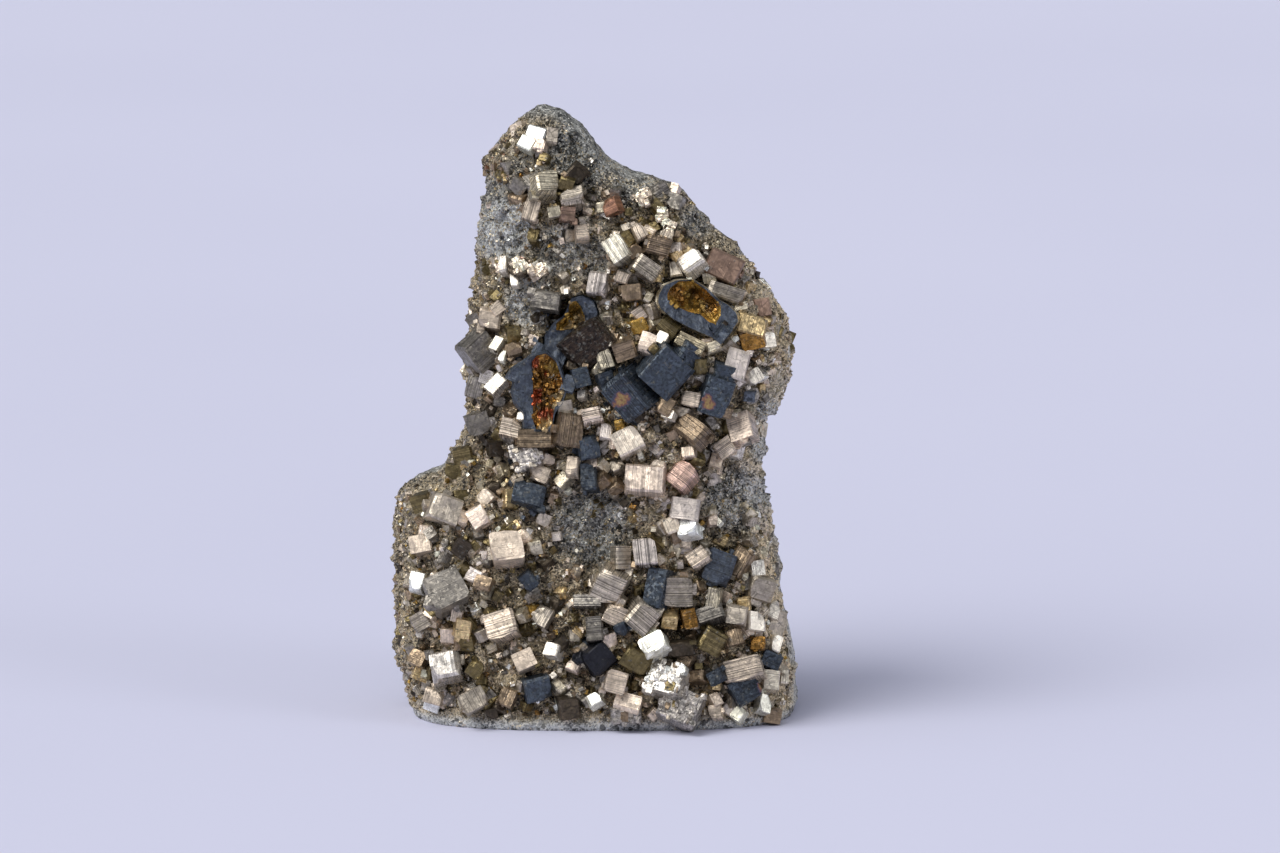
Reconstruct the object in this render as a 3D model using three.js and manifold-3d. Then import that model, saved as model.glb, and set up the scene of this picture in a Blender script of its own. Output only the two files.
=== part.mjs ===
// A pyrite freeform: one palm-sized piece of pyrite-bearing rock, sawn flat underneath and ground
// round its right edge, top and back, with its natural crystal face left rough in front.
// Millimetres, +Z up, the crystal face towards -Y, origin under the middle of the stone.
import * as THREE from 'three';
import { mergeVertices } from 'three/addons/utils/BufferGeometryUtils.js';
import Module from 'manifold-3d';

const wasm = await Module();
wasm.setup();

const HEIGHT = 48.9;
const MIDDLE = { x: -0.4, y: -0.8 }; // of the stone's box, in the coordinates of the lists below
const SIGHT_TILT = THREE.MathUtils.degToRad(10); // the face is described as seen from so far above
const FRONT_FOOT = -9.3; // where the front meets the ground
const SQUARENESS = 3; // of a level section: 2 is an oval, more is boxier

// The ground outline seen from the front: height, then how far it reaches to the left and right.
const LEFT_EDGE = [
  [0, -15], [1.5, -15.5], [5, -16.3], [10, -16.4], [15, -16.4], [17.3, -16.1], [18.4, -14.9],
  [19.2, -12.9], [20.6, -12.1], [21.8, -11.2], [23.7, -10.7], [26.7, -10.8], [30, -10.6],
  [33.4, -10.1], [37.4, -9.8], [40.3, -9.5], [42.4, -9.1], [44.2, -9.1], [45.2, -8.7],
  [46.1, -8], [47.1, -7.1], [48.1, -6.1], [HEIGHT, -4.9],
];
const RIGHT_EDGE = [
  [0, 15.4], [0.8, 15.8], [2.3, 15.7], [5.2, 15.5], [9.1, 14.6], [12, 14.3], [14, 14], [17, 13.4],
  [20, 13], [23.7, 13.4], [25.7, 14.6], [28, 15.2], [29.6, 15.3], [31.5, 14.9], [33.4, 14],
  [35.4, 12.4], [37.4, 11], [38.9, 9.3], [41.3, 7.2], [42.1, 6.4], [42.8, 4.8], [43.5, 2.6],
  [44.8, 0.5], [46.9, -1.1], [48, -2.4], [48.6, -3.2], [HEIGHT, -4.7],
];
// The same seen from the right: height, then where the front and the back are.
const FRONT_EDGE = [
  [0, FRONT_FOOT + 0.4], [1.2, FRONT_FOOT], [10, -9], [20, -8.3], [30, -7.3], [38, -6],
  [43, -4.7], [46, -3.3], [48, -1.7], [HEIGHT, 0.4],
];
const BACK_EDGE = [
  [0, 9.2], [1.2, 9.7], [10, 9.9], [20, 9.3], [30, 8.3], [38, 6.9], [43, 5.4], [46, 4.2],
  [48, 2.7], [HEIGHT, 0.7],
];
const RINGS = { foot: [0, 0.4, 1], from: 2, step: 1.8, to: 45.5, tip: [46.6, 47.5, 48.2, 48.7, HEIGHT] };
const RING_POINTS = { front: 26, back: 12 };

// Broad swells and hollows of the crystal face: where, how far they reach, and how far they rise.
const RELIEF = [
  { x: -5, z: 43.5, reach: 4, rise: 0.9 }, // the crown
  { x: 6, z: 38.5, reach: 3, rise: 0.6 },
  { x: 8.2, z: 36.8, reach: 1.5, rise: -1.5 }, // dark cleft under the shoulder
  { x: 11, z: 31.5, reach: 4.5, rise: 1 }, // the right lobe
  { x: 3, z: 27, reach: 5, rise: 1.1 }, // the tarnished belt
  { x: -7, z: 30, reach: 3.5, rise: 0.7 },
  { x: -1.8, z: 31.5, reach: 1.8, rise: -1.5 },
  { x: -8.2, z: 20.8, reach: 1.8, rise: -1.3 },
  { x: -0.5, z: 15.5, reach: 3.6, rise: -1 }, // bare rock in the waist
  { x: 10.5, z: 19, reach: 2.8, rise: -0.8 },
  { x: 10, z: 14.3, reach: 1.9, rise: -1.7 },
  { x: 4, z: 6.5, reach: 6, rise: 0.9 }, // the foot
  { x: 12, z: 7.5, reach: 3.5, rise: 0.5 },
  { x: -12.5, z: 12, reach: 4.5, rise: 0.8 }, // the left foot
];

// Crystals of the face. across and up: the middle as seen from the front; wide and tall: the seen
// face; turn: its slant, anticlockwise; swing and tip: how far it looks right and up, in degrees.
const seen = (across, up, wide, tall, turn = 0, swing = 0, tip = 0) => (
  { across, up, wide, tall, turn, swing, tip }
);
const BROKEN = [ // tarnished crystals that have broken open, and the hollow in each
  { block: seen(7.9, 33.2, 6.2, 4.2, -25, 6, -8), hollow: seen(7.5, 34.3, 4.4, 2.3, -22) },
  { block: seen(-3.3, 32.3, 3.5, 3.3, 15, 8, 5), hollow: seen(-2.5, 33, 2.3, 2.1, 20) },
  { block: seen(-4.2, 27.2, 3.9, 5.5, -4, -6, 0), hollow: seen(-4, 27.2, 2.2, 4.6, -6) },
];
const BROKEN_BURIED = 0.78; // share of a broken crystal's depth that the rock holds
const HOLLOW_DEPTH = 1.7; // from the broken crystal's front
const CROWN = [
  seen(-5.2, 47.3, 1.2, 1.4, -20, -18, 20), seen(-5.7, 46.7, 1.2, 1, -38, -18, 20),
  seen(-3.8, 47.3, 1, 1.4, -8, 22, 6), seen(-4.1, 43.7, 2, 1.9, -3, 26, 30),
  seen(-2.2, 42.6, 1.9, 1.3, 12, 4, 30), seen(-5.4, 41.5, 1.2, 1.8, -16, 22, 0),
  seen(0.8, 41.7, 1.3, 1.3, 25, -26, 8), seen(-2.7, 43.4, 1.2, 1.2, -20, 0, -10),
  seen(-2.5, 41.1, 1.2, 1.1, -5, 10, 10), seen(-3.6, 41.3, 1, 0.9, 12, 0, 8),
  seen(-1.7, 44.4, 1.4, 1.4, 45, 6, -10),
];
const SHOULDER = [
  seen(5.9, 42.9, 0.7, 1, -10, -18, 20), seen(4.9, 42.9, 1.4, 1.2, 30, 0, -8),
  seen(5.9, 42.2, 1.3, 1.2, -15, -14, 4), seen(3.4, 42.4, 1, 1.5, 20, -18, 18),
  seen(5.1, 41.1, 0.9, 1.1, 5, -20, 20), seen(5.6, 40, 1, 1.3, -20, -16, 18),
  seen(3.2, 39.8, 0.9, 1.4, 25, 18, 0), seen(4.7, 38.5, 1.8, 1.5, -15, 24, -10),
  seen(1.3, 38.4, 1.6, 2.1, 34, -8, 8), seen(2.8, 38.2, 1.1, 1, 30, 6, 14),
  seen(7.2, 37.4, 2, 1.5, 35, -16, 16), seen(9.9, 37, 2.8, 2.2, -27, 4, 12),
  seen(8.7, 36.1, 1, 0.9, 10, 0, -6), seen(-0.2, 35.7, 1.4, 1.9, -8, 8, 4),
  seen(1.8, 36.1, 1.1, 0.9, -22, 0, 10), seen(2.5, 34.9, 1.5, 1.3, 5, -8, 0),
  seen(3.8, 36.8, 2.2, 1.4, -35, 10, 16), seen(13, 33.8, 1.2, 1.4, 12, 14, 0),
  seen(10, 34.9, 2.9, 1.2, -17, 8, 4),
];
const LEFT_BANK = [
  seen(-7.7, 37.2, 0.6, 1.5, 8, -20, 18), seen(-6.3, 37, 1, 1.1, 30, 0, 12),
  seen(-6.8, 35.9, 0.5, 1.1, 12, -18, 18), seen(-4.9, 36.7, 1.2, 0.9, 15, -10, 12),
  seen(-8.7, 33, 1.8, 1.8, -8, 6, 6), seen(-10.1, 33.2, 0.7, 1.5, 18, -30, 10),
  seen(-9.2, 30.2, 2.4, 2.6, 42, 16, -20), seen(-8.2, 30.9, 0.7, 1.2, -25, -18, 18),
  seen(-7.7, 29.9, 0.5, 0.9, -10, -18, 18), seen(-8.3, 27.7, 1.7, 1.1, 45, -16, 16),
  seen(-6.8, 30.4, 1.2, 1.1, 15, 0, 8), seen(-4.3, 34.4, 2.3, 1.6, -8, -6, 8),
  seen(-7, 24.2, 1.8, 1.4, -14, 4, 8), seen(-9.6, 24.5, 2, 1.7, 20, -16, 0),
  seen(-8.2, 22.5, 1.2, 1.2, 10, 14, -16), seen(-10.9, 21.9, 1.6, 1.3, 12, -20, 6),
  seen(-11.7, 20.7, 1.4, 1.1, -12, -10, -6), seen(-9.9, 27.4, 1.3, 1.8, -14, -20, 8),
];
const TARNISHED_BELT = [
  seen(-0.9, 30.6, 3.9, 3.1, 36, -12, -16), seen(0.4, 29.6, 1.2, 1.5, 20, -10, 8),
  seen(-6.2, 25.2, 0.7, 0.7, 0, -8, 10), seen(-1.4, 28.2, 1.3, 1.5, 15, 8, 0),
  seen(-2.4, 27.7, 1.1, 1.3, -20, 0, 10), seen(2.1, 26.6, 3.7, 2.6, -50, 0, -30),
  seen(0.6, 27.9, 1.3, 1.4, 20, 10, -10), seen(5.3, 28.5, 3.3, 3.3, 46, -20, 24),
  seen(7.2, 29.8, 2, 1.9, -30, 24, -10), seen(6.9, 31.6, 4.3, 1.6, -28, -4, -24),
  seen(9.3, 32, 1.2, 1.8, -35, 0, -16), seen(8, 29, 1, 1.3, 0, 16, 0),
  seen(3.8, 30.9, 1.4, 1.7, -15, 4, 6), seen(4.9, 31.3, 0.9, 1, -25, -18, 20),
  seen(2, 30.3, 1.8, 1.5, 20, 0, -14), seen(9, 30.6, 1.3, 0.9, 20, 0, 16),
  seen(9.9, 28.3, 1.7, 1.7, -12, 14, -14), seen(9.3, 26.6, 2.3, 3, -18, 18, -10),
  seen(10.8, 29.2, 1.7, 2.5, -14, 4, 0), seen(12.3, 28.3, 1.1, 1, 30, -18, 20),
  seen(13.4, 31.2, 1.2, 1.2, 5, 4, 8), seen(12, 32.4, 2.3, 1.6, -15, 8, 14),
  seen(12.1, 31.1, 1.9, 1.4, 15, -6, -8), seen(5.2, 26, 1.2, 1.5, -30, 0, 10),
  seen(7.2, 26.5, 1.5, 1.1, -12, 0, 8), seen(5.4, 25.3, 1, 0.7, -12, -18, 20),
];
const MIDDLE_BELT = [
  seen(-2.3, 24, 2, 2.7, -8, 20, 0), seen(-5, 23.4, 3, 1.5, 0, 0, 14),
  seen(-2.7, 25.7, 1.3, 1.3, 10, 0, 8), seen(-0.8, 22.6, 1.6, 1.8, 10, 14, -8),
  seen(-2.2, 21.2, 1, 1.5, -5, 10, 0), seen(-0.9, 20.3, 1.3, 2.1, 5, -10, 8),
  seen(-0.6, 25.2, 1.6, 1.2, 12, 10, 10), seen(2.2, 23.2, 2.2, 2, 28, 2, 4),
  seen(3.6, 20.2, 3.2, 2.2, -4, 12, 6), seen(6.5, 20.5, 2, 2.1, -36, -8, 8),
  seen(7.1, 24.2, 2.7, 1.8, -38, -24, 12), seen(11.1, 24.3, 1.9, 2.2, 20, -8, 8),
  seen(9.9, 22.6, 1.6, 1.4, 36, -20, -10), seen(7, 22.3, 1, 0.9, 10, -16, 18),
  seen(6.7, 17.8, 2.4, 1.7, -8, -10, 8), seen(6.9, 16.4, 1.7, 1.5, 12, -18, 20),
  seen(5.7, 16.5, 1.2, 1.3, 20, 16, 0), seen(-4.7, 20.6, 1.4, 1.3, -20, 0, 6),
  seen(-5.8, 22, 2.2, 2, 15, -6, 8), seen(-5.6, 19, 2.6, 1.7, -15, 0, 14),
];
const FOOT = [
  seen(3.6, 14.4, 1.8, 2.1, 6, 8, 4), seen(1.9, 13.9, 1.3, 1.8, 0, 20, 0),
  seen(7.8, 13.9, 1.7, 1.4, 33, 0, 4), seen(9.5, 13.1, 2.3, 2.6, -20, 6, 0),
  seen(11, 13.6, 1.5, 2.3, -32, -18, 0), seen(12.6, 13, 1.1, 1.3, 5, 10, 8),
  seen(13, 11.2, 2.2, 2.1, -16, 18, -6), seen(9, 10.6, 1, 1.8, -10, -10, 6),
  seen(8.7, 9.5, 2.3, 1.2, 18, 0, 20), seen(11, 9.4, 2, 1.7, -10, -8, 10),
  seen(12.6, 8.8, 1.5, 1.4, -8, -18, 18), seen(13.7, 9.8, 1, 1.3, -25, 0, 10),
  seen(14.2, 8.6, 1.3, 2, -15, 20, 0), seen(6.1, 11.2, 2.5, 2.3, 0, -6, 4),
  seen(4.4, 11.5, 1.6, 3.2, -10, -22, 0), seen(0.7, 11.5, 2.5, 2.5, -26, -10, -8),
  seen(-1, 10.5, 2.2, 0.9, 0, -6, 20), seen(1.3, 9.3, 1.9, 1.6, -25, 6, 8),
  seen(3.5, 9, 2.3, 2.3, -40, 22, 10), seen(4.2, 7.1, 2.1, 1.6, 28, -18, 20),
  seen(-0.4, 8.3, 1.4, 1.9, 5, 0, 10), seen(1.8, 8.2, 1.2, 1.2, 20, -10, -8),
  seen(0, 5.8, 2.2, 2.3, 42, 6, -12), seen(-1.9, 5.4, 1, 1, -20, 0, 8),
  seen(1.3, 4, 1.8, 1.9, -15, 4, 6), seen(2.9, 5.7, 2.3, 1.7, -30, 0, -10),
  seen(2.2, 2.4, 2.1, 1.4, -15, 0, 6), seen(-0.5, 2.6, 1.2, 1, 30, -18, 20),
  seen(5.1, 4.4, 2.7, 2.5, -12, -16, 18), seen(6.4, 2.2, 3, 2.8, -24, -8, 4),
  seen(11.3, 5, 3.2, 1.7, 12, 0, 8), seen(13.8, 4.3, 1.3, 1.4, 5, 8, 8),
  seen(13.8, 6.4, 1.6, 2.2, -10, 12, 4), seen(13.2, 2.2, 1, 1.5, -20, -18, 18),
  seen(14.1, 7, 0.9, 1.3, -25, -18, 18), seen(11.6, 3.4, 2.3, 2.1, 30, 10, -8),
  seen(9.2, 1.6, 1.1, 1.1, 8, 0, 10), seen(11, 1.5, 1, 1.2, -30, -14, 18),
  seen(9, 7.2, 2, 1.9, -30, 14, -6), seen(10.5, 7.6, 1.7, 1.5, 15, -6, 8),
  seen(6.4, 6.6, 2.1, 1.2, 5, 0, -10), seen(7.6, 8.8, 1.3, 1.9, 12, 8, 0),
  seen(12.6, 7.1, 1.2, 1, 0, 0, 8), seen(13.8, 1.2, 1.4, 1.2, -8, 10, 0),
  seen(-2.3, 1.9, 1.8, 1.7, 10, -14, 6), seen(2.1, 1.3, 2.4, 1.2, 0, 0, -6),
  seen(9.2, 4.4, 1.3, 1.1, 30, -14, 6),
];
const LEFT_FOOT = [
  seen(-14.3, 18.2, 1.5, 1.4, 18, -22, -6), seen(-12.2, 17.8, 2.4, 2.2, -20, 10, 8),
  seen(-9.7, 17.2, 1.5, 1.7, 32, -8, 4), seen(-14.3, 15, 1.7, 1.5, 12, -14, 10),
  seen(-11, 14.6, 1.3, 1.5, -34, 8, -10), seen(-7.4, 14.8, 2.6, 2.4, 8, 12, 14),
  seen(-14.6, 12, 1.2, 1.5, -10, -20, 10), seen(-12.2, 11.4, 3, 2.8, 26, 6, 12),
  seen(-9.3, 11.9, 1.4, 1.2, -16, -12, 6), seen(-5.6, 12, 1.2, 1.4, 38, 0, -10),
  seen(-14.3, 8.8, 1.5, 1.4, 30, -10, 8), seen(-10.8, 8.2, 1.3, 1.5, -8, 14, -8),
  seen(-7.9, 8.6, 2.5, 2.2, 18, -6, 10), seen(-4.6, 9.3, 1.4, 1.6, -28, -12, 6),
  seen(-14.6, 5.9, 1.3, 1.2, -24, -18, 6), seen(-12.3, 5.4, 2.4, 2.2, 10, 8, 14),
  seen(-9.9, 5, 1.2, 1.4, -36, 0, -8), seen(-6, 5.8, 1.7, 1.5, 24, 10, 8),
  seen(-3.8, 6.6, 1.2, 1.1, -10, -16, 16), seen(-13.3, 2.8, 1.5, 1.3, -14, -12, -6),
  seen(-10, 2.6, 2, 1.7, 28, 6, 10), seen(-7.4, 2.8, 1.3, 1.5, -22, -6, 6),
  seen(-4.9, 3.4, 2.1, 1.9, 14, 8, -10),
];
const CRYSTALS = [
  ...CROWN, ...SHOULDER, ...LEFT_BANK, ...TARNISHED_BELT, ...MIDDLE_BELT, ...FOOT, ...LEFT_FOOT,
];
const BURIED = 0.6; // share of any other crystal's depth that the rock holds

// Smooth value at `at` of a list of [position, value] pairs: a cubic through the points.
function along(points, at) {
  const last = points.length - 1;
  let i = 0;
  while (i < last - 1 && at > points[i + 1][0]) i++;
  const slope = (k) => {
    const a = points[Math.max(0, k - 1)];
    const b = points[Math.min(last, k + 1)];
    return (b[1] - a[1]) / (b[0] - a[0]);
  };
  const [p, q] = [points[i], points[i + 1]];
  const span = q[0] - p[0];
  const s = THREE.MathUtils.clamp((at - p[0]) / span, 0, 1);
  const [s2, s3] = [s * s, s * s * s];
  return (2 * s3 - 3 * s2 + 1) * p[1] + (s3 - 2 * s2 + s) * span * slope(i)
    + (3 * s2 - 2 * s3) * q[1] + (s3 - s2) * span * slope(i + 1);
}

// Middle and half sizes of the level section at height z.
function section(z) {
  const [left, right] = [along(LEFT_EDGE, z), along(RIGHT_EDGE, z)];
  const [front, back] = [along(FRONT_EDGE, z), along(BACK_EDGE, z)];
  const [halfWide, halfDeep] = [(right - left) / 2, (back - front) / 2];
  return { x: left + halfWide, y: front + halfDeep, halfWide, halfDeep };
}

// How far the rough face stands out of the smooth section at a place.
function relief(x, z) {
  const swells = RELIEF.reduce((sum, s) => {
    const far = ((x - s.x) ** 2 + (z - s.z) ** 2) / s.reach ** 2;
    return sum + s.rise * Math.exp(-far);
  }, 0);
  const lumps = 0.22 * Math.sin(1.9 * x + 0.7 * z) * Math.sin(1.3 * z - 0.4 * x)
    + 0.16 * Math.sin(3.7 * x - 2.1 * z) * Math.sin(2.9 * z + 1.1 * x);
  return swells + lumps;
}

// Share of the relief that is left near the ground rim: none at the rim, all a little way in.
function roughShare(x, z) {
  const s = section(z);
  const fromRim = s.halfWide - Math.abs(x - s.x);
  return THREE.MathUtils.smoothstep(fromRim, 0.3, 2.4) * THREE.MathUtils.smoothstep(s.halfDeep, 0.8, 4)
    * THREE.MathUtils.smoothstep(z, 0, 1.5);
}

// Depth of the crystal face at a place.
function faceDepth(x, z) {
  const s = section(z);
  const out = Math.min(Math.abs(x - s.x) / s.halfWide, 0.996);
  return s.y - s.halfDeep * (1 - out ** SQUARENESS) ** (1 / SQUARENESS) - relief(x, z) * roughShare(x, z);
}

// The place on the face that is seen at (across, up) from SIGHT_TILT above, found step by step.
function seenPlace(across, up) {
  let z = up;
  for (let i = 0; i < 6; i++) {
    z = (up - (faceDepth(across, z) - FRONT_FOOT) * Math.sin(SIGHT_TILT)) / Math.cos(SIGHT_TILT);
    z = THREE.MathUtils.clamp(z, 0, HEIGHT - 0.2);
  }
  return new THREE.Vector3(across, faceDepth(across, z), z);
}

// A closed geometry as a solid.
function solid(geometry) {
  const bare = geometry.clone().deleteAttribute('normal').deleteAttribute('uv');
  const merged = mergeVertices(bare, 1e-4);
  return new wasm.Manifold(new wasm.Mesh({
    numProp: 3, vertProperties: new Float32Array(merged.attributes.position.array),
    triVerts: new Uint32Array(merged.index.array),
  }));
}

function geometryOf(made) {
  const mesh = made.getMesh();
  const places = new Float32Array(mesh.numVert * 3);
  for (let i = 0; i < mesh.numVert; i++) {
    places.set(mesh.vertProperties.subarray(i * mesh.numProp, i * mesh.numProp + 3), i * 3);
  }
  return new THREE.BufferGeometry().setAttribute('position', new THREE.BufferAttribute(places, 3))
    .setIndex(new THREE.BufferAttribute(mesh.triVerts, 1));
}

// The height of each ring of points round the rock, closer together at the foot and the tip.
function ringHeights() {
  const heights = [...RINGS.foot];
  for (let z = RINGS.from; z < RINGS.to; z += RINGS.step) heights.push(z);
  return [...heights, ...RINGS.tip];
}

// The angle of each point of a ring, closer together in front.
function ringAngles() {
  const angles = [];
  for (let i = 0; i < RING_POINTS.front; i++) angles.push(Math.PI * (1 + i / RING_POINTS.front));
  for (let i = 0; i < RING_POINTS.back; i++) angles.push((Math.PI * i) / RING_POINTS.back);
  return angles;
}

// The rock without its crystals: one section above another, closed by a point at each end.
function rock() {
  const power = (c) => Math.sign(c) * Math.abs(c) ** (2 / SQUARENESS);
  const heights = ringHeights();
  const angles = ringAngles();
  const places = [];
  for (const z of heights) {
    const s = section(z);
    for (const angle of angles) {
      const x = s.x + s.halfWide * power(Math.cos(angle));
      const inFront = Math.sin(angle) < -0.02;
      places.push(x, inFront ? faceDepth(x, z) : s.y + s.halfDeep * power(Math.sin(angle)), z);
    }
  }
  const faces = [];
  const n = angles.length;
  const last = (heights.length - 1) * n;
  for (let ring = 0; ring < last; ring += n) {
    for (let i = 0; i < n; i++) {
      const [a, b] = [ring + i, ring + ((i + 1) % n)];
      faces.push(a, b, b + n, a, b + n, a + n);
    }
  }
  const [base, top] = [section(0), section(HEIGHT)];
  const foot = places.length / 3;
  places.push(base.x, base.y, 0, top.x, top.y, HEIGHT);
  for (let i = 0; i < n; i++) {
    const next = (i + 1) % n;
    faces.push(foot, next, i, foot + 1, last + i, last + next);
  }
  const geometry = new THREE.BufferGeometry();
  geometry.setAttribute('position', new THREE.BufferAttribute(new Float32Array(places), 3));
  return solid(geometry.setIndex(faces));
}

// The way a crystal is turned, as a rotation from its own axes to the stone's.
function facing({ turn = 0, swing = 0, tip = 0 }) {
  const angle = THREE.MathUtils.degToRad;
  const about = (x, y, z, by) => new THREE.Quaternion().setFromAxisAngle(new THREE.Vector3(x, y, z), by);
  return about(1, 0, 0, -SIGHT_TILT).multiply(about(0, -1, 0, angle(turn)))
    .multiply(about(0, 0, 1, angle(swing))).multiply(about(1, 0, 0, -angle(tip)));
}

// A cubic crystal, part sunk in the face.
function crystal(c, buried = BURIED) {
  const deep = (c.wide + c.tall) / 2;
  const pose = facing(c);
  const place = seenPlace(c.across, c.up);
  place.add(new THREE.Vector3(0, deep * (buried - 0.5), 0).applyQuaternion(pose));
  const cube = new THREE.BoxGeometry(c.wide, deep, c.tall);
  cube.applyQuaternion(pose).translate(place.x, place.y, place.z);
  return solid(cube);
}

// The rounded hollow in a broken crystal, sunk in from its front.
function hollowOf({ block, hollow }) {
  const proud = ((block.wide + block.tall) / 2) * (1 - BROKEN_BURIED);
  const place = seenPlace(hollow.across, hollow.up);
  const scoop = new THREE.IcosahedronGeometry(0.5, 2);
  scoop.scale(hollow.wide, HOLLOW_DEPTH * 2, hollow.tall).applyQuaternion(facing({ turn: hollow.turn }));
  return solid(scoop.translate(place.x, place.y - proud, place.z));
}

// Everything below the sawn base or past it is cut away.
function sawnFlat(made) {
  const room = new THREE.BoxGeometry(100, 100, HEIGHT + 20).translate(0, 0, (HEIGHT + 20) / 2);
  return made.intersect(solid(room));
}

function stone() {
  const { union } = wasm.Manifold;
  const rough = union([rock(), ...BROKEN.map((b) => crystal(b.block, BROKEN_BURIED))]);
  const opened = rough.subtract(union(BROKEN.map(hollowOf)));
  return sawnFlat(union([opened, ...CRYSTALS.map((c) => crystal(c))]));
}

const material = new THREE.MeshStandardMaterial({ color: 0x6c635c, roughness: 0.5, metalness: 0.6 });
const freeform = new THREE.Mesh(geometryOf(stone()).translate(-MIDDLE.x, -MIDDLE.y, 0), material);
freeform.name = 'pyrite_freeform';

const part = new THREE.Group();
part.add(freeform);

export default part;
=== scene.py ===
"""A pyrite freeform: rock ground smooth behind, with its natural face of pyrite crystals in front.

Metres in the scene, millimetres in the lists below. The crystal face looks towards -Y.
"""

import math
import random

import bpy
import numpy as np
from mathutils import Matrix, Vector, noise


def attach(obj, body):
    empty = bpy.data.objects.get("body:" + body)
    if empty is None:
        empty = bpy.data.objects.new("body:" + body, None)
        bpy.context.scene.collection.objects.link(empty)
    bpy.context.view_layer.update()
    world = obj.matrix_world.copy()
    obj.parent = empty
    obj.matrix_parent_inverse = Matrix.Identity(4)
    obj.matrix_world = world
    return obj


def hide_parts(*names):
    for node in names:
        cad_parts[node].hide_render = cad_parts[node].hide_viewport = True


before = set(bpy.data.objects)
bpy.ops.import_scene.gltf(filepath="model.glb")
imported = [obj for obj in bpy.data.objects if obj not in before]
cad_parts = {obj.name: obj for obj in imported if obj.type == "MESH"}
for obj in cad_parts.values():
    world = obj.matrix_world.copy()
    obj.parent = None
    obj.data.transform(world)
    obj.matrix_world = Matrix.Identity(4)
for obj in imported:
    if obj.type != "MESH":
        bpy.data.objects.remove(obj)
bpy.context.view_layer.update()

# The studio: a pale lavender paper floor that runs far back, one soft light from the upper left in
# front, a weaker one from the right, and a camera that looks a little down on the crystal face.
MM = 0.001
# Where the middle of the sawn base, which is the origin of the frame, lies in the lists below, and
# how far in front the foot of the crystal face stands in them.
MIDDLE = Vector((-0.4, -0.8, 0))
FRONT_FOOT = -9.3
# How far the camera looks down, the direction to it, and the direction that is up in its picture.
SIGHT_TILT = math.radians(10)
SIGHT = Vector((0, -math.cos(SIGHT_TILT), math.sin(SIGHT_TILT)))
SEEN_UP = Vector((0, math.sin(SIGHT_TILT), math.cos(SIGHT_TILT)))
LENS = 250
SENSOR = 36
FRAME_WIDTH = 102.4
# The camera stands this much closer than the frame's width alone asks for.
NEARER = 4.0
FRAME_MIDDLE = (3.2, 24.3)

aim = Vector((FRAME_MIDDLE[0], FRONT_FOOT, 0)) - MIDDLE + FRAME_MIDDLE[1] * SEEN_UP
camera = bpy.data.objects.new("camera", bpy.data.cameras.new("camera"))
camera.data.lens = LENS
camera.data.sensor_width = SENSOR
camera.data.clip_start = 0.01
camera.location = (aim + (FRAME_WIDTH * LENS / SENSOR - NEARER) * SIGHT) * MM
camera.rotation_euler = (-SIGHT).to_track_quat("-Z", "Y").to_euler()
bpy.context.scene.collection.objects.link(camera)
bpy.context.scene.camera = camera
bpy.context.scene.view_settings.view_transform = "Standard"


class Shade:
    """A socket of a node tree. Sums on it add Math nodes, and node() adds any other node.

    A colour ramp's stops are given with its first and its last one ahead of those between them.
    """

    def __init__(self, tree, socket=None):
        self.tree = tree
        self.socket = socket

    def node(self, kind, inputs=None, out=0, stops=None, **settings):
        made = self.tree.nodes.new("ShaderNode" + kind)
        for name, value in settings.items():
            setattr(made, name, value)
        for i, (at, colour) in enumerate(stops or []):
            ramp = made.color_ramp.elements
            element = ramp[0] if i == 0 else ramp[-1] if i == 1 else ramp.new(at)
            element.position = at
            element.color = (*colour, 1)
        for key, value in (inputs or {}).items():
            if isinstance(value, Shade):
                self.tree.links.new(value.socket, made.inputs[key])
            else:
                made.inputs[key].default_value = value
        return Shade(self.tree, made.outputs[out])

    def sum(self, operation, a, b):
        return self.node("Math", {0: a, 1: b}, operation=operation)

    def __add__(self, other):
        return self.sum("ADD", self, other)

    __radd__ = __add__

    def __sub__(self, other):
        return self.sum("SUBTRACT", self, other)

    def __rsub__(self, other):
        return self.sum("SUBTRACT", other, self)

    def __mul__(self, other):
        return self.sum("MULTIPLY", self, other)

    __rmul__ = __mul__

    def __gt__(self, other):
        return self.sum("GREATER_THAN", self, other)

    def vector(self, operation, other, out=0):
        """This vector or colour, by way of a Vector Math node."""
        second = "Scale" if operation == "SCALE" else 1
        return self.node("VectorMath", {0: self, second: other}, out=out, operation=operation)

    def part(self, name):
        """One of a colour's parts: Red, Green or Blue."""
        return self.node("SeparateColor", {"Color": self}, out=name)

    def axis(self, name):
        """One of a place's parts: X, Y or Z."""
        return self.node("SeparateXYZ", {"Vector": self}, out=name)

    def attribute(self, name, out="Color"):
        return self.node("Attribute", out=out, attribute_name=name)

    def eased(self, low, high, start=0.0, end=1.0):
        """From `start` at low to `end` at high, smoothly, and level beyond them."""
        steps = {"Value": self, "From Min": low, "From Max": high, "To Min": start, "To Max": end}
        return self.node("MapRange", steps, interpolation_type="SMOOTHSTEP")

    def mix(self, a, b, blend="MIX"):
        """Colour a where this value is 0, and b where it is 1."""
        colours = {0: self, 6: a, 7: b}
        return self.node("Mix", colours, out=2, data_type="RGBA", blend_type=blend)

    def noise(self, place, scale, detail=3.0, roughness=0.5, kind="3D"):
        inputs = {"Scale": scale, "Detail": detail, "Roughness": roughness}
        inputs["W" if kind == "1D" else "Vector"] = place
        return self.node("TexNoise", inputs, noise_dimensions=kind)

    def voronoi(self, place, scale, out="Color", **settings):
        """A pattern of broken cells, each with a random colour."""
        return self.node("TexVoronoi", {"Vector": place, "Scale": scale}, out=out, **settings)

    def bump(self, height, distance, strength=1.0, normal=None):
        inputs = {"Height": height, "Distance": distance, "Strength": strength}
        if normal:
            inputs["Normal"] = normal
        return self.node("Bump", inputs)


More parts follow.
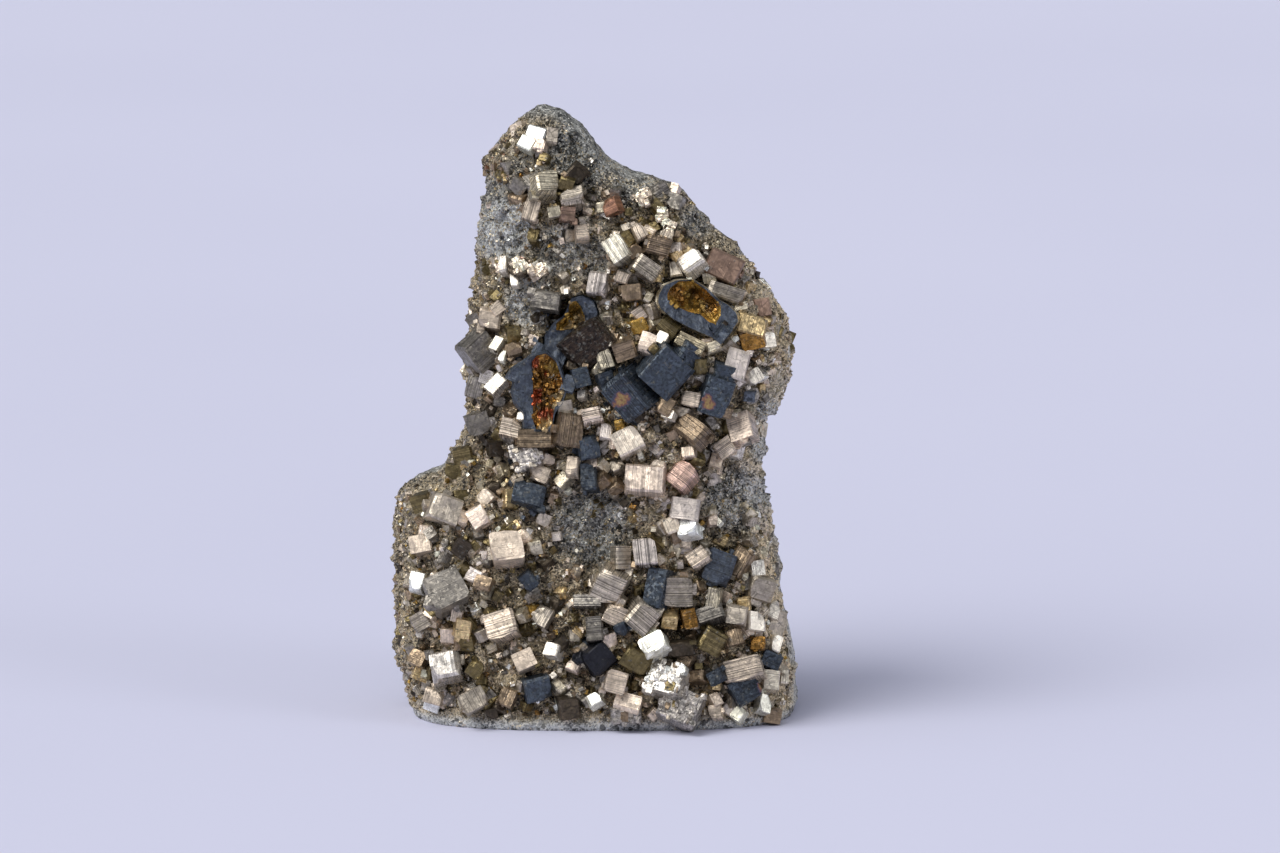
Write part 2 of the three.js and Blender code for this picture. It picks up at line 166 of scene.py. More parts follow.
def new_material(name, looks):
    """A material whose shader takes the sockets that looks(start) gives."""
    made = bpy.data.materials.new(name)
    made.use_nodes = True
    shader = made.node_tree.nodes["Principled BSDF"]
    for key, value in looks(Shade(made.node_tree)).items():
        if isinstance(value, Shade):
            made.node_tree.links.new(value.socket, shader.inputs[key])
        else:
            shader.inputs[key].default_value = value
    return made


FLOOR_REACH = 4.0
LAVENDER = (0.615, 0.62, 0.76, 1)
PALE_LAVENDER = (0.635, 0.64, 0.78, 1)
FIBRE_DEPTH = 0.04 * MM


def paper_looks(start):
    place = start.node("TexCoord", out="Object")
    fibres = start.noise(place, 900, detail=4)
    clouds = start.noise(place, 6, detail=2)
    colour = clouds.eased(0.3, 0.7).mix(LAVENDER, PALE_LAVENDER)
    return {"Base Color": colour, "Roughness": 0.9, "Normal": start.bump(fibres, FIBRE_DEPTH, 0.4)}


floor_mesh = bpy.data.meshes.new("floor")
corners = [(-FLOOR_REACH, -FLOOR_REACH, 0), (FLOOR_REACH, -FLOOR_REACH, 0)]
corners += [(FLOOR_REACH, FLOOR_REACH, 0), (-FLOOR_REACH, FLOOR_REACH, 0)]
floor_mesh.from_pydata(corners, [], [(0, 1, 2, 3)])
floor = bpy.data.objects.new("floor", floor_mesh)
floor.data.materials.append(new_material("lavender_paper", paper_looks))
bpy.context.scene.collection.objects.link(floor)


def sun(name, direction, strength, softness, colour):
    """A light from far away; softness is the angle that it fills, in degrees."""
    light = bpy.data.lights.new(name, "SUN")
    light.energy = strength
    light.angle = math.radians(softness)
    light.color = colour
    made = bpy.data.objects.new(name, light)
    made.rotation_euler = Vector(direction).to_track_quat("Z", "Y").to_euler()
    bpy.context.scene.collection.objects.link(made)


KEY_FROM = (-0.56, -0.43, 0.80)
FILL_FROM = (0.80, -0.45, 0.40)
sun("key", KEY_FROM, 1.82, 38, (1.0, 0.98, 0.95))
sun("fill", FILL_FROM, 0.42, 24, (0.96, 0.97, 1.0))

world = bpy.data.worlds.new("studio")
bpy.context.scene.world = world
world.use_nodes = True
# The room's own light: a pale ceiling over darker walls, and a soft glow round each lamp.
way = Shade(world.node_tree).node("TexCoord", out="Generated")
to_key = way.vector("DOT_PRODUCT", Vector(KEY_FROM).normalized(), out="Value")
to_fill = way.vector("DOT_PRODUCT", Vector(FILL_FROM).normalized(), out="Value")
ceiling = way.axis("Z").eased(0.25, 0.95, 0.10, 0.42)
glow = ceiling + to_key.eased(0.6, 0.99, 0, 1.0) + to_fill.eased(0.8, 0.99, 0, 0.3)
background = world.node_tree.nodes["Background"]
background.inputs["Color"].default_value = (0.88, 0.91, 1.0, 1)
world.node_tree.links.new(glow.socket, background.inputs["Strength"])

# The rock: grey-green, fine-grained stone full of pyrite. Its foot is sawn, its back, right side and
# top slope are ground to a satin finish, and its front is left as the broken, lumpy wall of a vug.
HEIGHT = 48.9
# How square its level sections are: 2 would make ellipses of them.
SQUARENESS = 3
# Its left and right edges as seen from the front, and its front and back ones from the side: height
# and place.
LEFT_EDGE = [
    (0, -15), (1.5, -15.5), (5, -16.3), (10, -16.4), (15, -16.4), (17.3, -16.1), (18.4, -14.9),
    (19.2, -12.9), (20.6, -12.1), (21.8, -11.2), (23.7, -10.7), (26.7, -10.8), (30, -10.6),
    (33.4, -10.1), (37.4, -9.8), (40.3, -9.5), (42.4, -9.1), (44.2, -9.1), (45.2, -8.7),
    (46.1, -8), (47.1, -7.1), (48.1, -6.1), (HEIGHT, -4.9),
]
RIGHT_EDGE = [
    (0, 15.4), (0.8, 15.8), (2.3, 15.7), (5.2, 15.5), (9.1, 14.6), (12, 14.3), (14, 14.0),
    (17, 13.4), (20, 13), (23.7, 13.4), (25.7, 14.6), (28, 15.2), (29.6, 15.3), (31.5, 14.9),
    (33.4, 14), (35.4, 12.4), (37.4, 11), (38.9, 9.3), (41.3, 7.2), (42.1, 6.4), (42.8, 4.8),
    (43.5, 2.6), (44.8, 0.5), (46.9, -1.1), (48, -2.4), (48.6, -3.2), (HEIGHT, -4.7),
]
FRONT_EDGE = [
    (0, FRONT_FOOT + 0.4), (1.2, FRONT_FOOT), (10, -9), (20, -8.3), (30, -7.3), (38, -6),
    (43, -4.7), (46, -3.3), (48, -1.7), (HEIGHT, 0.4),
]
BACK_EDGE = [
    (0, 9.2), (1.2, 9.7), (10, 9.9), (20, 9.3), (30, 8.3), (38, 6.9), (43, 5.4), (46, 4.2),
    (48, 2.7), (HEIGHT, 0.7),
]
# Broad swells and hollows of the front: across, height, reach and rise.
RELIEF = [
    (-5, 43.5, 4, 0.9), (6, 38.5, 3, 0.6), (8.2, 36.8, 1.5, -1.5), (11, 31.5, 4.5, 1),
    (3, 27, 5, 1.1), (-7, 30, 3.5, 0.7), (-1.8, 31.5, 1.8, -1.5), (-8.2, 20.8, 1.8, -1.3),
    (-0.5, 15.5, 3.6, -1), (10.5, 19, 2.8, -0.8), (10, 14.3, 1.9, -1.7), (4, 6.5, 6, 0.9),
    (12, 7.5, 3.5, 0.5), (-12.5, 12, 4.5, 0.8),
]
# How wide a strip of the face is ground too, along its right edge: height, width.
GROUND_RIM = [
    (0, 0.2), (3, 0), (12, -0.1), (17, -0.3), (26, -0.6), (41, -0.6), (43, -0.1), (46, 0.5),
    (HEIGHT, 0.6),
]
# How much deeper the rock lies between its crystals than the face that they stand on.
GAP_DEPTH = 0.55
# Its grid: the height from ring to ring, and the points of a ring in front and behind.
RING_STEP = 0.2
FRONT_POINTS = 220
BACK_POINTS = 90


def along(points, at):
    """The smooth value at each position of `at`, through a list of (position, value) pairs."""
    spots, values = np.array(points, float).T
    slopes = np.gradient(values, spots)
    slopes[1:-1] = (values[2:] - values[:-2]) / (spots[2:] - spots[:-2])
    i = np.clip(np.searchsorted(spots, at, side="right") - 1, 0, len(spots) - 2)
    span = spots[i + 1] - spots[i]
    s = np.clip((at - spots[i]) / span, 0, 1)
    start = (2 * s**3 - 3 * s**2 + 1) * values[i] + (s**3 - 2 * s**2 + s) * span * slopes[i]
    end = (3 * s**2 - 2 * s**3) * values[i + 1] + (s**3 - s**2) * span * slopes[i + 1]
    return start + end


def eased(value, low, high):
    """0 up to low and 1 from high on, with a smooth rise between them."""
    s = np.clip((value - low) / (high - low), 0, 1)
    return s * s * (3 - 2 * s)


def section(z):
    """Middle and half sizes of the level section at each height."""
    left, right = along(LEFT_EDGE, z), along(RIGHT_EDGE, z)
    front, back = along(FRONT_EDGE, z), along(BACK_EDGE, z)
    return (left + right) / 2, (front + back) / 2, (right - left) / 2, (back - front) / 2


def swell_share(x, z):
    """How much of the swells shows: none at the rim."""
    mid_x, _, half_wide, half_deep = section(z)
    from_rim = half_wide - np.abs(x - mid_x)
    return eased(from_rim, 0.3, 2.4) * eased(half_deep, 0.8, 4) * eased(z, 0, 1.5)


def rough_share(x, z):
    """1 on the crystal face, 0 on the ground rim, whose edge wavers a little."""
    mid_x, _, half_wide, _ = section(z)
    from_rim = half_wide - np.abs(x - mid_x)
    ground = np.where(x > mid_x, along(GROUND_RIM, z), -0.5)
    ground = ground + 0.15 * np.sin(2.3 * z) * np.sin(0.9 * z + 1)
    in_face = eased(from_rim, ground - 0.1, ground + 0.5)
    return in_face * eased(z, 0.4, 1.0) * eased(HEIGHT - z, 0.2, 1.2)


def relief(x, z):
    """How far the swells and lumps stand out of the curved face."""
    swells = 0
    for across, up, reach, rise in RELIEF:
        swells = swells + rise * np.exp(-((x - across) ** 2 + (z - up) ** 2) / reach**2)
    lumps = 0.22 * np.sin(1.9 * x + 0.7 * z) * np.sin(1.3 * z - 0.4 * x)
    lumps += 0.16 * np.sin(3.7 * x - 2.1 * z) * np.sin(2.9 * z + 1.1 * x)
    return (swells + lumps) * swell_share(x, z)


def face_depth(x, z):
    """Where the crystal face is, across and at a height."""
    x, z = np.asarray(x, float), np.asarray(z, float)
    mid_x, mid_y, half_wide, half_deep = section(z)
    out = np.minimum(np.abs(x - mid_x) / half_wide, 0.996)
    return mid_y - half_deep * (1 - out**SQUARENESS) ** (1 / SQUARENESS) - relief(x, z)


def cell_facets(place, scale, height):
    """Broken facets: each cell of a random pattern is flat, at its own height and tilt."""
    cell = noise.voronoi(place * scale)[1][0]
    tilt = noise.cell_vector(cell * 7.3) - Vector((0.5, 0.5, 0.5))
    return height * (tilt.x + (place * scale - cell).dot(tilt) * 1.4)


# The section along which the points of every ring are evenly spaced.
TYPICAL_HALF_WIDTH = 16
TYPICAL_HALF_DEPTH = 10


def half_ring(count):
    """Evenly spaced points of half a level section, as shares of its half width and half depth."""
    angles = np.linspace(math.pi, 0, 2000)
    wide = np.sign(np.cos(angles)) * np.abs(np.cos(angles)) ** (2 / SQUARENESS)
    deep = np.abs(np.sin(angles)) ** (2 / SQUARENESS)
    steps = np.hypot(np.diff(wide) * TYPICAL_HALF_WIDTH, np.diff(deep) * TYPICAL_HALF_DEPTH)
    run = np.concatenate([[0], np.cumsum(steps)])
    at = np.linspace(0, run[-1], count, endpoint=False)
    return np.interp(at, run, wide), np.interp(at, run, deep)


def rock_grid():
    """Places on the rock's smooth form, ring by ring, and the share of roughness at each."""
    even = np.arange(1.2, HEIGHT - 1.2, RING_STEP)
    tip = HEIGHT - np.array([1.05, 0.85, 0.66, 0.48, 0.32, 0.18, 0.07, 0])
    heights = np.concatenate([[0, 0.15, 0.35, 0.6, 0.9], even, tip])
    (front_wide, front_deep), (back_wide, back_deep) = half_ring(FRONT_POINTS), half_ring(BACK_POINTS)
    wide = np.concatenate([front_wide, -back_wide])
    deep = np.concatenate([-front_deep, back_deep])
    z = heights[:, None] * np.ones_like(wide)[None, :]
    mid_x, mid_y, half_wide, half_deep = section(z)
    x = mid_x + half_wide * wide
    y = mid_y + half_deep * deep
    in_front = deep[None, :] < np.zeros_like(z)
    y = np.where(in_front, y - relief(x, z), y)
    behind = eased(deep + 0.08 * np.sin(1.7 * z) + 0.05 * np.sin(4.1 * z + 2), 0.4, 0.15)
    return np.stack([x, y, z], axis=-1), rough_share(x, z) * np.where(in_front, 1, behind)


def grid_normals(places):
    """The outward direction at each place of a grid that closes on itself along its rows."""
    along_row = np.roll(places, -1, axis=1) - np.roll(places, 1, axis=1)
    up = np.gradient(places, axis=0)
    normals = np.cross(along_row, up)
    return normals / np.maximum(np.linalg.norm(normals, axis=-1, keepdims=True), 1e-9)


def ring_faces(rings, points):
    """The four-sided faces between rings of points that follow one another in a list."""
    faces = []
    for first in range(0, (rings - 1) * points, points):
        for i in range(points):
            a, b = first + i, first + (i + 1) % points
            faces.append((a, b, b + points, a + points))
    return faces


def piece(name, vertices, faces, material, colours, smooth=None):
    """A mesh object from millimetre places, flattened at the floor, which rides with the stone.

    Its material reads the named colours of its vertices.
    """
    mesh = bpy.data.meshes.new(name)
    moved = (np.asarray(vertices, float) - np.array(MIDDLE)) * MM
    moved[:, 2] = moved[:, 2].clip(min=0)
    mesh.from_pydata(moved.tolist(), [], faces)
    mesh.materials.append(material)
    for key, values in colours.items():
        values = np.asarray(values, np.float32)
        mesh.attributes.new(key, "FLOAT_COLOR", "POINT").data.foreach_set("color", values.ravel())
    if smooth is not None:
        mesh.polygons.foreach_set("use_smooth", np.asarray(smooth, bool))
    mesh.validate()
    made = bpy.data.objects.new(name, mesh)
    bpy.context.scene.collection.objects.link(made)
    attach(made, "root")
    return made


# The stone behind the hollows of the broken crystals is scooped out: across, up, half width, half
# height, slant anticlockwise and depth.
SCOOPS = [
    (7.5, 33.9, 2.9, 1.3, -24, 2.6), (-2.5, 33, 1.5, 1.3, 35, 2.2), (-4.1, 27.4, 1.35, 2.9, -6, 2.4),
]
# Where the rock shows between the crystals: across, up, reach, share of the crystals that are
# missing there, and how pale its frosting is.
BARE = [
    (-0.5, 16.3, 3.6, 0.95, 0.35), (10.8, 18.5, 3, 0.9, 0.6), (-7.6, 39.8, 2.9, 1, 1.4),
    (-1.2, 46.3, 3.4, 0.97, 0.1), (-5.6, 34.2, 2.4, 0.85, 1.1), (-5, 45, 2.6, 0.7, 0.2),
    (0, 42.5, 3, 0.5, 0.3), (-8.6, 42.6, 2.0, 0.9, 0.5), (2.6, 43.5, 2, 0.9, 0.4),
    (13.5, 28, 1.6, 0.5, 0.8), (-3.0, 38.2, 2.6, 0.85, 0.6), (-0.6, 37.6, 1.9, 0.8, 0.2),
    (7.7, 40.6, 1.5, 0.85, 0.1), (13.4, 25.6, 1.2, 0.95, 1.0), (13.2, 22.5, 1.4, 0.95, 1.0),
    (12.9, 19, 1.5, 0.95, 1.0),
]


def sparkle(start, grit, cells, level=None):
    """The direction of each grain's facet: tilted at random, so that some grains flash."""
    tilt = cells.vector("ADD", (-0.5, -0.5, -0.5)).vector("SCALE", grit)
    level = level or start.node("NewGeometry", out="Normal")
    return start.node("VectorMath", {0: level.vector("ADD", tilt)}, operation="NORMALIZE")


# The rock's grains, in cells to the metre, and how high they stand.
COARSE_GRAINS = 2900
FINE_GRAINS = 8200
GRAIN_HEIGHT = 0.14 * MM
STONE_SHADES = [
    (0.30, (0.008, 0.008, 0.007)), (0.72, (0.62, 0.62, 0.58)), (0.39, (0.050, 0.050, 0.045)),
    (0.47, (0.145, 0.146, 0.132)), (0.57, (0.30, 0.30, 0.275)),
]
DUST = (0.54, 0.53, 0.48, 1)
BLUISH_FROST = (0.61, 0.64, 0.645, 1)
# The palest dust, where the frosting is strongest: on the foot and the right edge it is partly painted
# light.
SAWN_DUST_AND_PAINTED_LIGHT = (0.84, 0.84, 0.79, 1)
PALE_SPECK = (0.78, 0.76, 0.69, 1)
DARK_SPECK = (0.020, 0.021, 0.018, 1)
BRASS = (0.78, 0.68, 0.50, 1)
# What the rock's colour is multiplied by where crystals crowd round it and stain it golden.
GOLDEN_STAIN = (1.35, 1.10, 0.78)


def rock_looks(start):
    """Dark and pale grains, under dust and frost in places, with grains and flecks of brassy pyrite."""
    place = start.node("TexCoord", out="Object")
    stone_parts = start.attribute("stone_parts")
    rough = stone_parts.part("Red").eased(0.05, 0.5)
    # Green is the frost, made paler as painted light on the sawn foot and the right edge.
    frost = stone_parts.part("Green")
    gap = stone_parts.part("Blue")
    coarse = start.voronoi(place, COARSE_GRAINS)
    fine = start.voronoi(place, FINE_GRAINS)
    coarse_tone = coarse.part("Red")
    coarse_kind = coarse.part("Green")
    fine_tone = fine.part("Red")
    fine_kind = fine.part("Green")
    patches = start.noise(place, 480, detail=5, roughness=0.62)
    clouds = start.noise(place, 190, detail=4, roughness=0.6)
    pits = start.noise(place, 1500, detail=5, roughness=0.75)
    tone = coarse_tone * 0.12 + fine_tone * 0.26 + patches * 0.36 + pits * 0.26
    stone = start.node("ValToRGB", {"Fac": tone}, stops=STONE_SHADES)
    haze = (clouds + frost * 0.25 + pits * 0.25 + fine_tone * 0.16 - 0.04).eased(0.66, 0.98, 0, 0.72)
    dust = frost.eased(0.5, 1.1).mix(DUST, BLUISH_FROST)
    dust = frost.eased(1.1, 1.6).mix(dust, SAWN_DUST_AND_PAINTED_LIGHT)
    stone = (haze * fine_tone.eased(0.1, 0.6, 0.4, 1)).mix(stone, dust)
    stone = (fine_tone + frost * 0.05).eased(0.84, 0.90, 0, 0.75).mix(stone, PALE_SPECK)
    stone = coarse_tone.eased(0.10, 0.16, 0.75, 0).mix(stone, DARK_SPECK)
    stone = gap.mix(stone, stone.vector("MULTIPLY", GOLDEN_STAIN))
    brass_grain = rough * (fine_kind + patches * 0.5 + gap * 0.12) > 1.08
    brass_fleck = (1 - rough) * (fine_kind * 0.55 + coarse_kind * 0.3 + clouds) > 1.19
    brass = brass_grain + brass_fleck
    grains = coarse_tone * 0.3 + fine_tone * 0.4 + pits * 0.6
    return {
        "Base Color": brass.mix(stone, BRASS), "Metallic": brass * 0.95, "Roughness": rough * 0.1 + 0.38,
        "Normal": start.bump(grains, GRAIN_HEIGHT, 0.8, sparkle(start, rough * 1.2 + 0.6, fine)),
    }


smooth_places, rough = rock_grid()
outward = grid_normals(smooth_places).reshape(-1, 3)
x, z = smooth_places[..., 0], smooth_places[..., 2]
gap = np.where(smooth_places[..., 1] < 0, GAP_DEPTH * swell_share(x, z) * rough_share(x, z), 0)
smooth_places -= gap[..., None] * outward.reshape(smooth_places.shape)
rows, columns = rough.shape
rough = rough.ravel()
rock_places = smooth_places.reshape(-1, 3).copy()
for i in range(len(rock_places)):
    spot = Vector(rock_places[i])
    if rough[i] > 0.01:
        rise = cell_facets(spot, 0.7, 0.5) + cell_facets(spot, 1.7, 0.3)
        rise = rise + 0.2 * noise.noise(spot * 3.1) - 0.15
        rock_places[i] += outward[i] * rise * min(1, rough[i] * 1.5)
    elif spot.z > 0.01:
        rock_places[i] += outward[i] * (0.12 * noise.noise(spot * 0.8) + cell_facets(spot, 2.3, 0.12))
seen_up = (rock_places[:, 1] - FRONT_FOOT) * SEEN_UP.y + rock_places[:, 2] * SEEN_UP.z
for across, up, half_wide, half_high, slant, depth in SCOOPS:
    cos, sin = math.cos(math.radians(slant)), math.sin(math.radians(slant))
    from_x, from_up = rock_places[:, 0] - across, seen_up - up
    out_wide = (from_x * cos + from_up * sin) / half_wide
    out_high = (from_up * cos - from_x * sin) / half_high
    scooped = depth * eased(np.hypot(out_wide, out_high), 1.15, 0.75) * (rock_places[:, 1] < 0)
    rock_places -= scooped[:, None] * np.array(SIGHT)
rock_places[:, 2] = np.clip(rock_places[:, 2], 0, None)
# The sawn foot and the ground right edge are frosted as well as the bare patches, and made paler
# there as painted light, since the foot lies in shade under the crystals and the right edge faces
# away from the key light.
bareness, frosting_and_painted_light = np.zeros((2, len(rock_places)))
for across, up, reach, share, frost in BARE:
    near = eased(np.hypot(rock_places[:, 0] - across, seen_up - up) / reach, 1.2, 0.6)
    bareness = np.maximum(bareness, near * share)
    frosting_and_painted_light = np.maximum(frosting_and_painted_light, near * frost)
at_foot = eased(rock_places[:, 2], 2.2, 0.6) * (rock_places[:, 1] < 0)
to_right = rock_places[:, 0] - along(RIGHT_EDGE, rock_places[:, 2])
at_right = eased(to_right, -2.4, -1.2) * eased(rock_places[:, 2], 38, 32)
at_right *= eased(rock_places[:, 1] + 1.5 * np.sin(rock_places[:, 2] * 0.7), 5, -2)
frosting_and_painted_light = np.maximum(frosting_and_painted_light, np.maximum(at_foot * 1.3, at_right * 1.6))
stone_parts = np.stack([rough, frosting_and_painted_light, rough * (1 - bareness), np.ones_like(rough)], axis=-1)
rock_faces = ring_faces(rows, columns)
rock_faces.append(tuple(reversed(range(columns))))
rock_faces.append(tuple((rows - 1) * columns + i for i in range(columns)))
rock = piece(
    "rock", rock_places, rock_faces, new_material("pyrite_rock", rock_looks),
    {"stone_parts": stone_parts}, smooth=[rough[face[0]] < 0.3 for face in rock_faces],
)
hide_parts("pyrite_freeform")

# The main crystals: pyrite cubes of one to four millimetres, grown out of the rock in thin plates,
# so their faces are striped. Some are fresh, some dulled, and some have a dark blue tarnish.
# Their colours are also partly painted light: the pale finishes, white most of all, are paler than
# pyrite and half diffuse, a painted highlight that shows from most sides, and the dark finish is
# partly painted shade.
# Each finish: colour, metallic, roughness and how much grit is on it.
FINISHES_AND_PAINTED_LIGHT = {
    "white": ((0.89, 0.81, 0.68), 0.5, 0.31, 0.10),
    "cream": ((0.88, 0.72, 0.57), 0.5, 0.36, 0.16),
    "frost": ((0.84, 0.78, 0.68), 0.7, 0.30, 0.35),
    "crumb": ((0.84, 0.70, 0.53), 0.75, 0.30, 0.35),
    "granular": ((0.56, 0.51, 0.45), 0.7, 0.32, 0.5),
    "lilac": ((0.76, 0.67, 0.585), 0.45, 0.42, 0.18),
    "salmon": ((0.62, 0.42, 0.33), 0.55, 0.36, 0.15),
    "honey": ((0.46, 0.28, 0.06), 0.6, 0.26, 0.3),
    "tan": ((0.75, 0.62, 0.475), 0.5, 0.38, 0.18),
    "rose": ((0.35, 0.23, 0.165), 0.6, 0.42, 0.2),
    "grey": ((0.505, 0.438, 0.345), 0.7, 0.36, 0.2),
    "silver": ((0.85, 0.78, 0.68), 0.7, 0.28, 0.12),
    "pewter": ((0.31, 0.28, 0.235), 0.7, 0.40, 0.35),
    "sage": ((0.64, 0.565, 0.415), 0.7, 0.36, 0.25),
    "khaki": ((0.44, 0.37, 0.24), 0.6, 0.38, 0.35),
    "brown": ((0.34, 0.25, 0.16), 0.75, 0.34, 0.25),
    "dark": ((0.072, 0.055, 0.036), 0.7, 0.38, 0.3),
    "umber": ((0.055, 0.036, 0.024), 0.6, 0.42, 0.8),
    "olive": ((0.20, 0.155, 0.07), 0.8, 0.36, 0.3),
    "gold": ((0.72, 0.54, 0.28), 0.75, 0.34, 0.3),
    "amber": ((0.38, 0.195, 0.045), 0.8, 0.28, 0.5),
    "ember": ((0.42, 0.085, 0.025), 0.6, 0.26, 0.4),
    "copper": ((0.44, 0.23, 0.14), 0.8, 0.36, 0.15),
    "slate": ((0.075, 0.091, 0.116), 0.3, 0.48, 0.45),
    "blue": ((0.052, 0.066, 0.083), 0.45, 0.40, 0.5),
    "navy": ((0.013, 0.014, 0.021), 0.4, 0.42, 0.3),
    "steel": ((0.12, 0.14, 0.17), 0.35, 0.45, 0.45),
}
# Crystals that look bright are those that face the light: the share of the way that they turn to it.
LIT = {"white": 0.8, "frost": 0.45, "cream": 0.4, "silver": 0.4, "tan": 0.3, "lilac": 0.3, "salmon": 0.3}
# Crystals as seen from the front: across, up, width, height, slant anticlockwise, how far they look
# to the right and up in degrees, finish and, where it shows, which way their stripes run.
CROWN = [
    (-5.1, 47.4, 1.5, 1.5, -14, -18, 20, "white"), (-5.8, 46.8, 1.2, 1.1, -24, -18, 20, "white"),
    (-4.8, 46.7, 1.0, 1.0, -10, -14, 14, "cream"),
    (-3.8, 47.3, 1, 1.4, -8, 22, 6, "grey"),
    (-4.1, 43.7, 2.0, 1.9, -3, 26, 30, "sage", "across"),
    (-2.2, 42.6, 1.9, 1.3, 12, 4, 30, "grey", "across"),
    (-5.4, 41.5, 1.2, 1.8, -16, 10, 4, "tan", "upright"),
    (0.8, 41.7, 1.3, 1.3, 25, -26, 8, "copper", "across"),
    (-2.7, 43.4, 1.2, 1.2, -20, 0, -32, "olive"),
    (-2.5, 41.1, 1.2, 1.1, -5, 10, 10, "rose", "across"), (-3.6, 41.3, 1, 0.9, 12, 0, 8, "sage"),
    (-1.7, 44.4, 1.4, 1.4, 45, 6, -10, "dark"),
]
SHOULDER = [
    (5.9, 42.9, 0.7, 1.0, -10, -18, 20, "cream"), (4.9, 42.9, 1.4, 1.2, 30, 0, -8, "pewter", "across"),
    (5.9, 42.2, 1.3, 1.2, -15, -14, 4, "pewter"), (3.4, 42.4, 0.9, 1.1, 20, -8, 10, "crumb"),
    (5.0, 41.0, 0.8, 0.9, 5, 0, -4, "crumb"), (5.4, 39.9, 0.8, 1.2, -20, -8, 12, "crumb"),
    (3.2, 39.8, 0.9, 1.4, 25, 18, 0, "tan", "upright"),
    (4.7, 38.5, 1.9, 1.5, -15, 14, 0, "brown", "across"),
    (1.3, 38.4, 1.6, 2.1, 34, -8, 8, "cream", "upright"), (2.8, 38.2, 1.1, 1, 30, 6, -4, "brown"),
    (7.2, 37.4, 2.0, 1.5, 35, -16, 16, "white", "across"), (9.9, 37, 2.8, 2.2, -27, 4, 12, "rose"),
    (8.7, 36.1, 1, 0.9, 10, 0, -6, "sage"), (-0.2, 35.7, 1.4, 1.9, -8, -2, 10, "lilac", "upright"),
    (1.8, 36.1, 1.1, 0.9, -22, 0, 2, "tan"), (2.5, 34.9, 1.5, 1.3, 5, -8, 0, "brown"),
    (3.8, 36.8, 2.2, 1.4, -35, 10, 10, "grey", "across"), (13.0, 33.8, 1.2, 1.4, 12, 14, 0, "rose"),
    (10, 34.9, 2.9, 1.2, -17, 8, 4, "grey", "across"),
]
LEFT_BANK = [
    (-7.7, 37.2, 0.6, 1.5, 8, -20, 18, "white", "upright"), (-6.4, 37, 1.0, 1.1, 30, 0, 12, "crumb"),
    (-6.8, 35.9, 0.5, 1.1, 12, -18, 18, "white"),
    (-4.9, 36.7, 1.3, 0.9, 15, -4, 0, "crumb"), (-8.7, 33, 1.8, 1.8, -8, 6, 6, "tan"),
    (-10.1, 33.2, 0.7, 1.5, 18, -30, 10, "cream"), (-9.2, 30.2, 2.4, 2.6, 42, 16, -20, "pewter"),
    (-8.2, 30.9, 0.7, 1.2, -25, -18, 18, "cream"), (-7.7, 29.9, 0.5, 0.9, -10, -18, 18, "white"),
    (-8.3, 27.7, 1.7, 1.1, 45, -16, 16, "white", "across"),
    (-6.8, 30.4, 1.2, 1.1, 15, 0, 8, "brown"), (-4.3, 34.4, 2.3, 1.6, -8, -6, 8, "pewter"),
    (-7, 24.2, 1.8, 1.4, -14, 4, 8, "tan", "across"), (-9.6, 24.5, 2, 1.7, 20, 0, -8, "pewter"),
    (-8.2, 22.5, 1.2, 1.2, 10, 14, -16, "dark"), (-10.9, 21.9, 1.6, 1.3, 12, -6, -10, "olive"),
    (-11.7, 20.7, 1.4, 1.1, -12, -10, -6, "olive"), (-9.9, 27.4, 1.3, 1.8, -14, 6, -8, "pewter"),
]
TARNISHED_BELT = [
    (-0.9, 30.6, 3.9, 3.1, 36, -12, -16, "umber"), (0.4, 29.6, 1.2, 1.5, 20, -10, 6, "sage", "upright"),
    (-6.2, 25.2, 0.7, 0.7, 0, -8, 10, "white"), (-1.4, 28.2, 1.3, 1.5, 15, 8, 0, "blue"),
    (-2.4, 27.7, 1.1, 1.3, -20, 0, 10, "steel"), (2.1, 26.6, 3.7, 2.6, -50, 0, -30, "blue", "across"),
    (0.6, 27.9, 1.3, 1.4, 20, 10, -10, "blue"),
    (5.3, 28.5, 3.3, 3.3, 46, -6, -16, "blue"), (7.2, 29.8, 2.0, 1.9, -30, 24, -10, "blue"),
    (5.3, 32.0, 1.7, 1.2, -38, -6, -24, "olive", "across"),
    (7.2, 30.9, 2.4, 1.1, -26, -8, 16, "khaki", "across"),
    (9.7, 31.7, 1.1, 1.4, -35, 0, -16, "blue", "upright"),
    (8, 29, 1, 1.3, 0, 16, 0, "olive"), (3.8, 30.9, 1.4, 1.7, -15, -4, 12, "cream"),
    (4.9, 31.3, 0.9, 1, -25, -18, 20, "white"), (2, 30.3, 1.8, 1.5, 20, 0, -14, "brown"),
    (9, 30.6, 1.3, 0.9, 20, 0, 10, "sage"), (9.9, 28.3, 1.7, 1.7, -12, 14, -14, "blue"),
    (9.3, 26.6, 2.3, 3.0, -18, 18, -10, "blue"), (10.8, 29.2, 1.7, 2.5, -14, 4, 0, "lilac"),
    (12.3, 28.3, 1.3, 1.2, 30, -18, 20, "white"), (13.4, 31.2, 1.2, 1.2, 5, 4, 8, "white"),
    (12.0, 32.4, 2.3, 1.6, -15, -6, 9, "gold"), (12.1, 31.1, 1.9, 1.4, 15, -6, -8, "amber"),
    (5.2, 26, 1.2, 1.5, -30, 0, 6, "brown"), (7.2, 26.5, 1.5, 1.1, -12, 4, 0, "tan"),
    (5.4, 25.3, 1, 0.7, -12, -18, 20, "white"),
]
